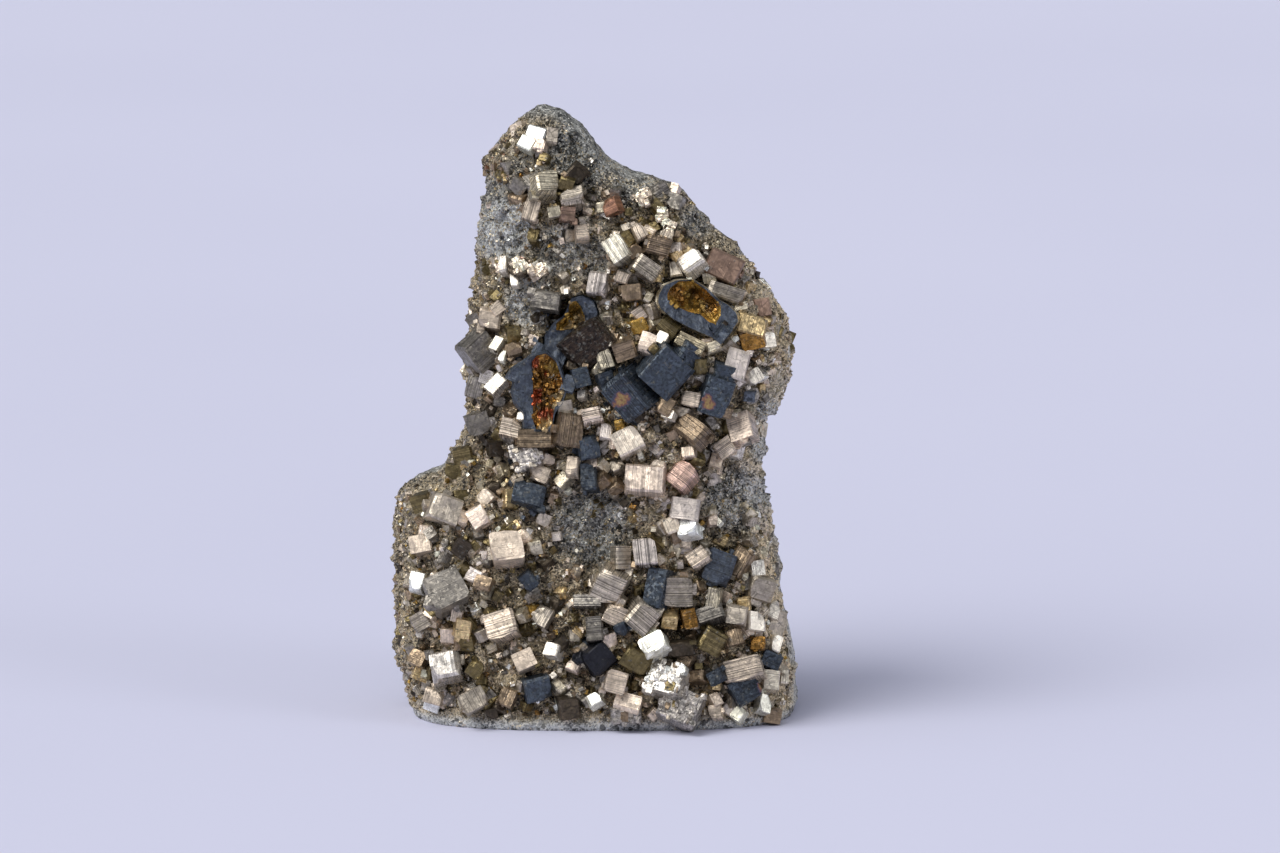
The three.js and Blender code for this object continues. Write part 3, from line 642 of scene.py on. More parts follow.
MIDDLE_BELT = [
    (-2.3, 24.0, 2.0, 2.7, -8, 20, 0, "brown", "upright"), (-5, 23.4, 3.0, 1.5, 0, 0, 4, "brown", "across"),
    (-2.7, 25.7, 1.3, 1.3, 10, 0, -6, "grey"),
    (-0.8, 22.6, 1.6, 1.8, 10, 14, -8, "blue"), (-2.2, 21.2, 1, 1.5, -5, -8, 12, "tan"),
    (-0.9, 20.3, 1.3, 2.1, 5, -10, 8, "blue"), (-0.6, 25.2, 1.6, 1.2, 12, 10, 10, "cream", "across"),
    (2.2, 23.2, 2.2, 2.0, 28, 8, 0, "cream"), (3.6, 20.2, 3.2, 2.2, -4, 12, 6, "cream"),
    (6.5, 20.5, 2.0, 2.1, -36, -8, 8, "salmon", "across"),
    (7.1, 24.2, 2.7, 1.8, -38, -24, 2, "brown", "across"),
    (11.1, 24.3, 1.9, 2.2, 20, -12, 16, "cream"), (9.9, 22.6, 1.6, 1.4, 36, -20, -10, "tan", "across"),
    (7, 22.3, 1, 0.9, 10, -16, 18, "tan"), (6.7, 17.8, 2.4, 1.7, -8, 4, 0, "lilac"),
    (6.9, 16.4, 1.7, 1.5, 12, -18, 20, "white"), (5.7, 16.5, 1.2, 1.3, 20, 16, 0, "tan"),
    (-4.7, 20.6, 1.4, 1.3, -20, 0, 6, "tan"), (-5.8, 22.0, 2.2, 2.0, 15, -6, 8, "granular"),
    (-5.6, 19, 2.6, 1.7, -15, 0, 14, "blue"),
]
FOOT = [
    (3.6, 14.4, 1.8, 2.1, 6, 8, 4, "lilac", "upright"), (1.9, 13.9, 1.3, 1.8, 0, 20, 0, "grey", "across"),
    (7.8, 13.9, 1.7, 1.4, 33, 0, 4, "tan", "across"), (9.5, 13.1, 2.3, 2.6, -20, 4, 6, "slate"),
    (11.0, 13.6, 1.5, 2.3, -32, -18, 0, "brown", "upright"), (12.6, 13, 1.1, 1.3, 5, 10, 8, "silver"),
    (12.9, 11.3, 2.0, 2.0, -16, 18, -6, "grey"), (9, 10.6, 1, 1.8, -10, -10, 0, "sage", "upright"),
    (8.7, 9.5, 2.3, 1.2, 18, 0, 20, "pewter", "across"), (10.8, 9.4, 1.7, 1.6, -10, -8, 4, "grey"),
    (12.5, 8.8, 1.5, 1.5, -8, -18, 18, "white"), (13.9, 9.7, 1.1, 1.5, -25, 14, 14, "white"),
    (14.2, 8.6, 1.3, 2, -15, 20, 0, "grey"), (6.1, 11.2, 2.5, 2.3, 0, -2, -8, "grey", "across"),
    (4.4, 11.5, 1.6, 3.2, -10, -22, 0, "blue"), (0.7, 11.5, 2.5, 2.5, -26, -6, -18, "grey", "across"),
    (-1, 10.5, 2.2, 0.9, 0, -6, 12, "pewter", "across"), (1.3, 9.3, 1.9, 1.6, -25, 12, -4, "tan", "across"),
    (3.4, 9.1, 2.3, 2.3, -40, 14, 0, "grey", "across"), (4.2, 7.1, 2.1, 1.6, 28, -18, 20, "white"),
    (-0.4, 8.3, 1.4, 1.9, 5, 0, 10, "pewter", "across"), (1.8, 8.2, 1.2, 1.2, 20, 0, -26, "blue"),
    (0, 5.8, 2.2, 2.3, 42, 10, -22, "navy"), (-2.1, 5.4, 1, 1, -20, -6, 12, "cream"),
    (1.3, 4, 1.7, 1.8, -15, 14, -4, "tan"), (2.9, 5.7, 2.3, 1.7, -30, 0, -10, "olive"),
    (2.2, 2.4, 2.1, 1.4, -15, 0, 12, "tan"), (-0.5, 2.6, 1.2, 1.0, 30, -18, 20, "white"),
    (5.1, 4.4, 2.7, 2.5, -12, -16, 18, "frost"), (6.4, 2.2, 3.0, 2.8, -24, -10, 12, "granular"),
    (11.3, 5.0, 3.2, 1.8, 14, 0, 4, "tan", "across"), (13.7, 4.1, 1.3, 1.6, -8, -10, 10, "cream"),
    (14.8, 4.3, 0.6, 1.1, -6, -10, 10, "cream"),
    (13.7, 5.7, 1.6, 1.2, -25, 8, 4, "blue"),
    (13.2, 2.2, 1, 1.5, -20, -18, 18, "white"), (14.1, 7.0, 0.8, 1.4, -25, -18, 18, "white"),
    (11.6, 3.4, 2.3, 2.1, 30, 10, -8, "blue"), (9.2, 1.6, 1.1, 1.1, 8, 0, 10, "tan"),
    (11, 1.5, 1, 1.2, -30, -14, 18, "cream"), (9, 7.2, 2, 1.9, -30, 14, -6, "olive", "across"),
    (10.5, 7.6, 1.6, 1.4, 15, -6, 8, "brown", "upright"), (6.4, 6.6, 2.1, 1.2, 5, 0, -10, "dark"),
    (7.1, 9.1, 1.1, 1.6, 12, 8, 0, "amber"), (12.6, 7.1, 1.2, 1, 0, 0, 8, "amber"),
    (13.8, 1.2, 1.4, 1.2, -8, 10, 0, "brown"), (-2.3, 1.9, 1.8, 1.7, 10, 8, -16, "dark"),
    (2.1, 1.3, 2.4, 1.2, 0, 0, -6, "granular"), (9.2, 4.4, 1.3, 1.1, 30, -14, 6, "blue"),
]
# The left foot can't be seen in the photograph, so these are a guess in the style of the rest.
LEFT_FOOT = [
    (-14.3, 18.2, 1.5, 1.4, 18, -22, -6, "olive"), (-12.2, 17.8, 2.4, 2.2, -20, 10, 8, "grey"),
    (-9.7, 17.2, 1.5, 1.7, 32, -8, 4, "cream"), (-14.3, 15, 1.7, 1.5, 12, -14, 10, "tan"),
    (-11, 14.6, 1.3, 1.5, -34, 8, -10, "dark"), (-7.4, 14.8, 2.6, 2.4, 8, 12, 14, "tan"),
    (-14.6, 12, 1.2, 1.5, -10, -20, 10, "white"), (-12.2, 11.4, 3, 2.8, 26, 6, 12, "pewter"),
    (-9.3, 11.9, 1.4, 1.2, -16, -12, 6, "brown"), (-5.6, 12, 1.2, 1.4, 38, 0, -10, "blue"),
    (-14.3, 8.8, 1.5, 1.4, 30, -10, 8, "grey"), (-10.8, 8.2, 1.3, 1.5, -8, 14, -8, "gold"),
    (-7.9, 8.6, 2.5, 2.2, 18, -6, 4, "tan", "across"), (-4.6, 9.3, 1.4, 1.6, -28, -12, 6, "grey"),
    (-14.6, 5.9, 1.3, 1.2, -24, -18, 6, "brown"), (-12.3, 5.4, 2.4, 2.2, 10, 8, 14, "silver"),
    (-9.9, 5, 1.2, 1.4, -36, 0, -8, "olive"), (-6, 5.8, 1.7, 1.5, 24, 10, 8, "tan"),
    (-3.8, 6.6, 1.2, 1.1, -10, -16, 16, "white"), (-13.3, 2.8, 1.5, 1.3, -14, -12, -6, "tan"),
    (-10, 2.6, 2, 1.7, 28, 6, 10, "grey"), (-7.4, 2.8, 1.3, 1.5, -22, -6, 6, "brown"),
    (-4.9, 3.4, 2.1, 1.9, 14, 8, -10, "blue"),
]
CRYSTALS = CROWN + SHOULDER + LEFT_BANK + TARNISHED_BELT + MIDDLE_BELT + FOOT + LEFT_FOOT
# The share of a crystal's depth that lies in the rock: the white ones stand out a little more.
BURIED = 0.6
WHITE_BURIED = 0.45
# Further right than this the face turns away from the key light, so the bright crystals there look
# to the fill, and more fully, since it is the weaker.
TURNS_RIGHT = 11.5
TURN_TO_FILL = 1.3
draw = random.Random(7)


def seen_place(across, up):
    """The places on the crystal face that are seen at (across, up) from SIGHT_TILT above."""
    z = np.asarray(up, float)
    for _ in range(6):
        z = (up - (face_depth(across, z) - FRONT_FOOT) * math.sin(SIGHT_TILT)) / math.cos(SIGHT_TILT)
        z = np.clip(z, 0, HEIGHT - 0.2)
    return np.stack([np.broadcast_to(across, z.shape), face_depth(across, z), z], axis=-1)


def pose(slant, swing, tip):
    """The rotation from a crystal's own axes to the stone's."""
    facing_viewer = Matrix.Rotation(-SIGHT_TILT, 3, "X") @ Matrix.Rotation(-math.radians(slant), 3, "Y")
    turned = facing_viewer @ Matrix.Rotation(math.radians(swing), 3, "Z")
    return turned @ Matrix.Rotation(-math.radians(tip), 3, "X")


def towards_light(slant, swing, tip, share, on_right):
    """Swing and tip of a face that looks more to where it would mirror the key light, or the fill."""
    light = FILL_FROM if on_right else KEY_FROM
    share = min(1, share * TURN_TO_FILL) if on_right else share
    half_way = Matrix.Rotation(SIGHT_TILT, 3, "X") @ (SIGHT + Vector(light).normalized()).normalized()
    bright = Matrix.Rotation(math.radians(slant), 3, "Y") @ half_way
    swing_to = math.degrees(math.atan2(bright.x, -bright.y))
    tip_to = math.degrees(math.asin(bright.z))
    return swing + (swing_to - swing) * share, tip + (tip_to - tip) * share


# How much paler or darker than its finish a crystal may be.
TONES = (0.86, 1.38)


class Druse:
    """Crystals gathered into one mesh, each with its finish and the run of its stripes."""

    def __init__(self):
        self.vertices, self.faces, self.colour, self.finish = [], [], [], []

    def grow(self, shape, turned, centre, finish, gritty=0.0, striped=False):
        """Add one crystal: its shape, how it is turned, where its middle is, and its finish.

        `gritty` is grit beyond that of its finish, and a striped one shows its stripes in full.
        """
        places, faces, stripes = shape
        colour, metal, polish, grit = FINISHES_AND_PAINTED_LIGHT[finish]
        tone = draw.uniform(*TONES)
        start = draw.uniform(0, 100)
        if striped:
            stripe_depth = 0.6 if finish == "white" else 1.1
        else:
            stripe_depth = draw.choice((0.15, 0.3, 0.5, 0.7))
        first = len(self.vertices)
        back = max(place.y for place in places) or 1
        for place, stripe in zip(places, stripes):
            self.vertices.append(turned @ place + centre)
            self.colour.append((*(min(1, channel * tone) for channel in colour), stripe_depth))
            # Grittier towards its back, where it meets the rock.
            grit_here = grit + gritty + 0.3 * max(0, place.y / back)
            self.finish.append((metal, polish, stripe + start, grit_here))
        self.faces.extend(tuple(first + i for i in face) for face in faces)

    def piece(self, name, material):
        colours = {"face_colour": self.colour, "finish": self.finish}
        return piece(name, self.vertices, self.faces, material, colours)


# How thick the plates of a crystal are, about, and how few and how many it may have.
PLATE = 0.14
FEWEST_PLATES = 5
MOST_PLATES = 22
# The edges of a cube that may be chipped, by the way they look from its middle.
CHIPPED_EDGES = ((1, -1, 0), (-1, -1, 0), (0, -1, 1), (0, -1, -1), (1, 0, 1), (-1, 0, -1))


def plated_cube(wide, deep, tall, stripes_run=None, curved=True):
    """A cube of thin plates stacked along one axis: places, faces, and where the stripes run."""
    any_axis = draw.choices((2, 0, 1), (5, 4, 2))[0]
    axis = {"across": 2, "upright": 0, None: any_axis}[stripes_run]
    a_axis, b_axis = (axis + 1) % 3, (axis + 2) % 3
    half = [wide / 2, deep / 2, tall / 2]
    plates = max(FEWEST_PLATES, min(MOST_PLATES, round(half[axis] * 2 / PLATE)))
    inner = sorted(draw.uniform(-0.97, 0.97) for _ in range(plates - 1))
    levels = [-1, *inner, 1]
    groove = PLATE * (0.2 if stripes_run else draw.choice((0.02, 0.04, 0.08, 0.15)))
    corner_cut = [draw.uniform(0.02, 0.12) for _ in range(4)]
    lean = [draw.uniform(-0.05, 0.05), draw.uniform(-0.05, 0.05)]
    # Each chip: the corner or edge that it takes, and how far out the cube still reaches there. The
    # chips of a large crystal are no larger than those of a small one.
    chips = []
    chip_size = min(1, 0.9 / max(half))
    for _ in range(draw.choice((0, 1, 2, 3))):
        corner = (draw.choice((-1, 1)), -1, draw.choice((-1, 1)))
        chips.append((corner, 3 - draw.uniform(0.1, 1.1) * chip_size))
    for _ in range(draw.choice((0, 1, 2))):
        edge = draw.choice(CHIPPED_EDGES)
        chips.append((edge, 2 - draw.uniform(0.05, 0.55) * chip_size))
    bulge = [draw.uniform(-0.02, 0.015) for _ in range(4)]
    outline = []
    for side in range(4):
        cos, sin = ((1, 0), (0, 1), (-1, 0), (0, -1))[side]
        ends = [(-1 + 2 * corner_cut[side - 1], 1), (0, 1 + bulge[side]), (1 - 2 * corner_cut[side], 1)]
        for t, out in ends if curved else ends[::2]:
            outline.append((cos * out - sin * t, sin * out + cos * t))

    def place_at(p, q, level, drawn_in):
        local = [0, 0, 0]
        local[a_axis] = p * (1 - drawn_in / half[a_axis]) + lean[0] * level
        local[b_axis] = q * (1 - drawn_in / half[b_axis]) + lean[1] * level
        local[axis] = level
        for way, reach in chips:
            over = max(0, sum(s * t for s, t in zip(way, local)) - reach) / sum(map(abs, way))
            local = [t - s * over for s, t in zip(way, local)]
        return Vector([t * size for t, size in zip(local, half)])

    places, stripes = [], []
    points = len(outline)
    for k, level in enumerate(levels):
        drawn_in = groove * (draw.uniform(0.3, 1) if k % 2 else draw.uniform(0, 0.4))
        places += [place_at(p, q, level, drawn_in) for p, q in outline]
        stripes += [level * half[axis]] * points
    faces = ring_faces(plates + 1, points)
    # Each end is a flat with one low terrace on it, or a shallow hollow.
    for end, level in ((0, -1), (plates, 1)):
        cap = len(places)
        places += places[end * points:(end + 1) * points]
        stripes += [0.5 + place[a_axis] for place in places[cap:]]
        loop = list(range(cap, cap + points))
        terrace = draw.uniform(0.55, 0.92)
        shift = [draw.uniform(-1, 1) * (1 - terrace) * 0.7 for _ in range(2)]
        rise = draw.choice((-1, 1, 1)) * draw.uniform(0.02, 0.05) / half[axis] * level
        for height in (0, rise):
            first = len(places)
            inset = [(p * terrace + shift[0], q * terrace + shift[1]) for p, q in outline]
            places += [place_at(p, q, level + height, 0) for p, q in inset]
            stripes += [0.5 + place[a_axis] for place in places[first:]]
            new_loop = list(range(first, first + points))
            for i in range(points):
                j = (i + 1) % points
                quad = (loop[i], loop[j], new_loop[j], new_loop[i])
                faces.append(quad if level > 0 else quad[::-1])
            loop = new_loop
        faces.append(tuple(loop if level > 0 else loop[::-1]))
    return places, faces, stripes


# The grains and blocks of a crystal's faces, in cells to the metre, and how deep its stripes and pits
# are.
FACE_GRAINS = 5600
FACE_BLOCKS = 1500
STRIPE_DEPTH = 0.05 * MM
PIT_DEPTH = 0.06 * MM
DARK_GRIME = (0.012, 0.012, 0.010, 1)
PALE_GRIME = (0.20, 0.19, 0.16, 1)
# Spots where the blue tarnish has bloomed gold and rose: across, up and reach.
WORN_SPOTS = [(1.7, 26.4, 1.0), (8.6, 26.3, 0.7), (13.1, 3.6, 0.6)]
BLOOM = [
    (0.0, (0.036, 0.05, 0.08)), (0.9, (0.38, 0.26, 0.11)), (0.25, (0.10, 0.08, 0.11)),
    (0.5, (0.24, 0.11, 0.08)),
]


def pyrite_looks(start):
    """Striped and gritty faces, cracked and grimy in places, with a bloom on the tarnished ones."""
    place = start.node("TexCoord", out="Object")
    face_colour = start.attribute("face_colour")
    striped = start.attribute("face_colour", out="Alpha")
    finish = start.attribute("finish")
    grit = start.attribute("finish", out="Alpha")
    metal = finish.part("Red")
    polish = finish.part("Green")
    stripe = finish.part("Blue")
    lines = start.noise(stripe, 11, detail=2, roughness=0.6, kind="1D") * 0.7
    lines = lines + start.noise(stripe, 2.6, detail=2, kind="1D") * 0.3
    mottle = start.noise(place, 1100, detail=5, roughness=0.65)
    grains = start.voronoi(place, FACE_GRAINS)
    blocks = start.voronoi(place, FACE_BLOCKS)
    to_crack = start.voronoi(place, FACE_BLOCKS, out="Distance", feature="DISTANCE_TO_EDGE")
    cracked = to_crack.eased(0.02, 0.10, 1, 0) * mottle.eased(0.50, 0.62)
    grain_tone = grains.part("Red")
    shade = (1 + striped * lines.eased(0.34, 0.64, -0.7, 0.15)) * mottle.eased(0.3, 0.7, 0.66, 1.2)
    shade = shade * (1 + grit * (grain_tone * 1.6 - 0.9)) * (0.9 + blocks.part("Green") * 0.2)
    colour = face_colour.vector("SCALE", shade * (1 - cracked * 0.45))
    grime = start.noise(place, 2100, detail=5, roughness=0.75) + grit.eased(0, 1, 0, 0.08)
    grime = grime.eased(0.60, 0.70)
    colour = grime.mix(colour, grain_tone.mix(DARK_GRIME, PALE_GRIME))
    tarnished = face_colour.part("Blue") - face_colour.part("Red") > 0.002
    seen_up = place.vector("DOT_PRODUCT", SEEN_UP, out="Value")
    seen = start.node("CombineXYZ", {"X": place.axis("X"), "Y": seen_up})
    worn = mottle.eased(0.76, 0.8)
    for across, up, reach in WORN_SPOTS:
        spot = Vector((across - MIDDLE.x, up + (FRONT_FOOT - MIDDLE.y) * SEEN_UP.y, 0)) * MM
        away = seen.vector("DISTANCE", spot, out="Value") + (mottle - 0.5) * reach * 2.5 * MM
        worn = worn + away.eased(reach * 0.2 * MM, reach * MM, 1, 0)
    worn = worn * tarnished * grain_tone.eased(0.1, 0.5, 0.65, 1)
    bloom = start.node("ValToRGB", {"Fac": worn}, stops=BLOOM)
    normal = sparkle(start, grit * 1.1 + grime * 0.6, grains, sparkle(start, 0.16, blocks))
    normal = start.bump(mottle, PIT_DEPTH, 0.35, normal)
    return {
        "Base Color": worn.eased(0, 0.15).mix(colour, bloom),
        "Metallic": metal * (1 - grime) + worn * 0.4,
        "Roughness": polish + mottle.eased(0.3, 0.7, -0.06, 0.08) + grime * 0.12,
        "Normal": start.bump(lines, STRIPE_DEPTH, 0.5, normal),
    }


# Finishes of the crystals that are overgrown with fine grains, and of the smaller crystals that
# differ from the one that they grow on.
SUGARY = ("frost", "crumb", "granular")
STRANGERS = ("grey", "brown", "olive", "dark", "pewter")
# How far inside the rock's edges and above its foot the smaller crystals stay.
LEFT_CLEAR = 0.4
RIGHT_CLEAR = 0.8
FOOT_CLEAR = 0.9

pyrite = new_material("pyrite_faces", pyrite_looks)
crystals = Druse()
for across, up, wide, tall, slant, swing, tip, finish, *stripes_run in CRYSTALS:
    deep = (wide + tall) / 2
    swing, tip = towards_light(slant, swing, tip, LIT.get(finish, 0), across > TURNS_RIGHT)
    turned = pose(slant, swing + draw.uniform(-2, 2), tip + draw.uniform(-2, 2))
    # Its face looks aside, so the crystal is set over the other way, and the face is seen in place.
    buried = WHITE_BURIED if finish == "white" else BURIED
    outwards = turned @ Vector((0, -deep, 0))
    beside = outwards - outwards.dot(SIGHT) * SIGHT
    centre = Vector(seen_place(across, up)) + (0.5 - buried) * outwards - (1 - buried) * 0.8 * beside
    shape = plated_cube(wide, deep, tall, *stripes_run)
    crystals.grow(shape, turned, centre, finish, striped=bool(stripes_run))
    # Smaller crystals grow out of its sides, or many grains out of its face where it is sugary.
    sugary = finish in SUGARY
    grain = 0.72 if finish == "granular" else 1
    loose = 18 if sugary else 40
    for _ in range(round(6 * wide * tall) + 3 if sugary else round(max(wide, tall) * 1.1)):
        size = grain * draw.uniform(0.3, 0.75) if sugary else draw.uniform(0.22, 0.4) * min(wide, tall)
        back = draw.uniform(0.2 if finish == "white" else -0.6, 0.6)
        edge = Vector((draw.uniform(-1, 1) * wide, back * deep, draw.uniform(-1, 1) * tall)) / 2
        if sugary:
            size *= draw.uniform(1, 1.3)
            edge.y = -0.5 * deep + size * draw.uniform(0.25, 0.48)
        else:
            side = draw.choice((0, 2))
            edge[side] = math.copysign((wide, deep, tall)[side] / 2, edge[side])
        kin_turned = turned
        if draw.random() >= 0.4:
            kin_turned = turned @ pose(*(draw.uniform(-loose, loose) for _ in range(3)))
        same = draw.random() < (0.85 if sugary or finish == "white" else 0.45)
        kin_finish = finish if same else draw.choice(STRANGERS)
        shape = plated_cube(*(size * draw.uniform(0.8, 1.2) for _ in range(3)))
        place = centre + turned @ edge
        leftmost = along(LEFT_EDGE, place.z) + LEFT_CLEAR
        rightmost = along(RIGHT_EDGE, place.z) - RIGHT_CLEAR
        if place.z > FOOT_CLEAR and leftmost < place.x < rightmost:
            crystals.grow(shape, kin_turned, place, kin_finish, gritty=0.1)
crystals.piece("main_crystals", pyrite)

# The broken crystals: three of the tarnished ones have split open. Outside they are a dull slate
# blue, and the hollow in each is lined with a rough crust, golden to orange.
# The size of a pixel of the photograph, 1280 wide, and the pixel where both across and up are 0.
PIXEL = 0.08
FOOT_PIXEL = (600, 730)
# Each one's outline and that of its hollow in pixels, anticlockwise from the lower left, how far its
# rim stands proud, the hollow's depth, how rough its crust is, the grains in it, and the finishes.
BROKEN = [
    {
        "outer": [
            (661, 310), (673, 320), (690, 329), (711, 338), (720, 345), (729, 333), (737, 322), (735, 314),
            (727, 306), (718, 301), (707, 290), (692, 281), (676, 282), (664, 287), (659, 296), (658, 303),
        ],
        "inner": [
            (667, 301), (677, 308), (688, 313), (699, 315), (708, 323), (715, 325), (720, 316), (720, 307),
            (715, 301), (705, 291), (692, 282), (678, 283), (670, 289), (667, 295),
        ],
        "proud": 0.9, "depth": 1.5, "rough": 0.12, "grains": 50,
        "crust": ("honey", "honey", "amber"), "wall": "sage",
    },
    {
        "outer": [
            (546, 350), (553, 362), (562, 370), (569, 353), (583, 341), (592, 328), (598, 314), (594, 303),
            (582, 297), (572, 300), (567, 312), (564, 317), (556, 322), (546, 336),
        ],
        "inner": [
            (557, 331), (564, 331), (571, 330), (580, 328), (586, 323), (585, 316), (581, 307), (577, 302),
            (571, 303), (569, 313), (564, 319), (557, 324),
        ],
        "proud": 0.7, "depth": 0.9, "rough": 0.2, "grains": 40,
        "crust": ("honey", "gold", "honey", "amber"), "wall": "blue",
    },
    {
        "outer": [
            (517, 403), (525, 413), (525, 429), (536, 431), (553, 431), (556, 413), (563, 404), (567, 392),
            (565, 380), (559, 362), (548, 353), (533, 357), (524, 364), (515, 369), (508, 379), (516, 383),
            (514, 392),
        ],
        "inner": [
            (534, 410), (534, 420), (537, 429), (552, 430), (554, 416), (556, 407), (561, 402),
            (565, 393), (563, 380), (557, 362), (547, 354), (538, 356), (533, 362), (534, 384),
        ],
        "proud": 0.7, "depth": 0.6, "rough": 0.3, "grains": 70,
        "crust": ("ember", "honey", "amber", "ember", "amber", "gold"), "wall": "slate",
    },
]


def resampled(loop, count):
    """Evenly spaced points along a closed outline, which keeps its corners nearly sharp."""
    points = np.array(loop + [loop[0]], float)
    run = np.concatenate([[0], np.cumsum(np.linalg.norm(np.diff(points, axis=0), axis=1))])
    at = np.linspace(0, run[-1], count, endpoint=False)
    return np.stack([np.interp(at, run, points[:, i]) for i in range(2)], axis=-1)


def inside_outline(x, y, outline):
    a, b = outline, np.roll(outline, -1, axis=0)
    level = np.where(b[:, 1] == a[:, 1], 1e-9, b[:, 1] - a[:, 1])
    crosses = (a[:, 1] > y) != (b[:, 1] > y)
    return (crosses & (x < a[:, 0] + (y - a[:, 1]) / level * (b[:, 0] - a[:, 0]))).sum() % 2 == 1


RIM_POINTS = 96
# How much lower the inner edge of the rim is than the outer.
RIM_DROP = 0.15
# The darkest that the painted shade deep in a hollow makes its crust.
DARKEST_PAINTED_SHADE = 0.2
broken_outlines = []
lining = Druse()
for number, broken in enumerate(BROKEN, 1):
    proud, depth, wall, crust = (broken[key] for key in ("proud", "depth", "wall", "crust"))
    outer, inner = (
        (resampled(broken[key], RIM_POINTS) - FOOT_PIXEL) * (PIXEL, -PIXEL) for key in ("outer", "inner")
    )
    broken_outlines.append(outer)
    heart = inner.mean(axis=0)
    # Loops from the root, which follows the rock, up the wall, over the rim and down the hollow. Each
    # has its outline, how far it stands out and its finish.
    loops = [(heart + (outer - heart) * 1.08, None, wall), (heart + (outer - heart) * 1.04, 0, wall)]
    loops += [(heart + (outer - heart) * 1.01, proud - 0.2, wall), (outer, proud, "slate")]
    for share in (0.33, 0.66, 1):
        loops.append((outer + (inner - outer) * share, proud - RIM_DROP * share, "slate"))
    for share in (0.01, 0.08, 0.2, 0.35, 0.5, 0.65, 0.8, 0.92):
        rise = proud - RIM_DROP - depth * (1 - (1 - share) ** 2)
        loops.append((inner + (heart - inner) * share, rise, "crust"))
    heart_y = seen_place(heart[0], heart[1])[1]
    places, colours, finishes, crust_places = [], [], [], []
    for outline, rise, finish in loops:
        for spot in seen_place(outline[:, 0], outline[:, 1]):
            place, name, tone = Vector(spot), finish, 1
            if rise is not None:
                # Half way to level with the heart, but still seen in the same place.
                slide = 0.5 * (heart_y - spot[1])
                place += Vector((0, slide, -slide * math.tan(SIGHT_TILT)))
                if finish == "crust":
                    lumps = 0.9 * noise.noise(place * 1.7) + cell_facets(place, 2.4, 1)
                    lumps *= broken["rough"]
                else:
                    lumps = 0.25 * noise.noise(Vector((place.x * 2.2, place.y, place.z * 0.8)))
                place += SIGHT * (rise + lumps)
            if finish == "crust":
                pick = noise.cell_vector(noise.voronoi(place * 0.8)[1][0] * 5.1).x
                name = crust[int(pick * 0.999 * len(crust))]
                crust_places.append((place, name))
                # Painted shade: darker deep in the hollow. It is cloudy as well.
                clouds = 1 + 0.9 * noise.noise(place * 1.3 + Vector((number, 0, 0)))
                tone = max(DARKEST_PAINTED_SHADE, (1.25 - 0.75 * (proud - rise) / depth) * clouds)
            colour, metal, polish, grit = FINISHES_AND_PAINTED_LIGHT[name]
            places.append(place)
            colours.append((*(channel * tone for channel in colour), 0.25))
            finishes.append((metal, polish, place.x, grit))
    places.append(sum(places[-RIM_POINTS:], Vector()) / RIM_POINTS)
    colours.append(colours[-1])
    finishes.append(finishes[-1])
    faces = ring_faces(len(loops), RIM_POINTS)
    last = (len(loops) - 1) * RIM_POINTS
    faces += [(last + i, last + (i + 1) % RIM_POINTS, len(places) - 1) for i in range(RIM_POINTS)]
    piece(f"broken_crystal_{number}", places, faces, pyrite, {"face_colour": colours, "finish": finishes})
    for _ in range(broken["grains"]):
        size = draw.uniform(0.12, 0.32)
        shape = plated_cube(*(size * draw.uniform(0.8, 1.2) for _ in range(3)))
        turned = pose(*(draw.uniform(-50, 50) for _ in range(3)))
        lining.grow(shape, turned, *draw.choice(crust_places))
lining.piece("hollow_lining", pyrite)

# The small crystals: cubes of about a millimetre crowd between the large ones, and thousands of
# finer ones fill the gaps. They are fewer where the granular rock shows.
# How common each finish is in each kind of place, among the crystals of about a millimetre and among
# the finer ones.
MEDIUM = {
    "everywhere": {"pewter": 6, "brown": 6, "dark": 2, "olive": 5, "grey": 7, "sage": 4, "tan": 2.5,
                   "cream": 1.6, "silver": 1.2, "white": 0.6, "lilac": 2, "gold": 1, "honey": 0.4},
    "tarnished": {"blue": 4, "steel": 4, "dark": 1, "brown": 4, "pewter": 4, "cream": 3, "gold": 1,
                  "tan": 3.5, "khaki": 5, "grey": 3, "sage": 3},
    "golden": {"gold": 2, "brown": 5, "olive": 5, "white": 0.5, "cream": 1.5, "tan": 1, "dark": 2},
    "bright": {"white": 3, "cream": 3, "salmon": 2, "tan": 3, "sage": 1, "lilac": 1},
    "pale": {"silver": 2, "cream": 1.5, "sage": 3, "grey": 5, "pewter": 3, "gold": 0.5, "tan": 3},
    "rusty": {"copper": 1, "brown": 3, "tan": 2, "pewter": 3, "olive": 3},
}
FINE = {
    "everywhere": {"pewter": 5, "brown": 6, "dark": 2.5, "olive": 5, "grey": 5, "sage": 3, "tan": 2.5,
                   "cream": 1.5, "silver": 1.5, "white": 1.2, "gold": 2.5, "honey": 1, "amber": 0.5},
    "tarnished": {"blue": 3.5, "steel": 4, "dark": 1, "brown": 4, "pewter": 5, "cream": 2.5, "gold": 2,
                  "white": 2, "khaki": 6, "grey": 3, "sage": 2},
    "golden": {"gold": 3, "brown": 6, "olive": 5, "white": 0.8, "cream": 1, "dark": 3, "amber": 0.4},
    "bright": {"white": 4, "cream": 3, "salmon": 2, "tan": 2, "sage": 1, "brown": 2},
    "pale": {"silver": 4, "white": 3, "cream": 2, "sage": 4, "grey": 5, "pewter": 2, "gold": 1, "tan": 3},
    "rusty": {"copper": 4, "gold": 4, "brown": 3, "tan": 3, "white": 1.5, "amber": 1, "olive": 2},
    "bare": {"pewter": 4, "grey": 3, "sage": 2, "silver": 1.5, "cream": 1, "dark": 2, "tan": 1},
}
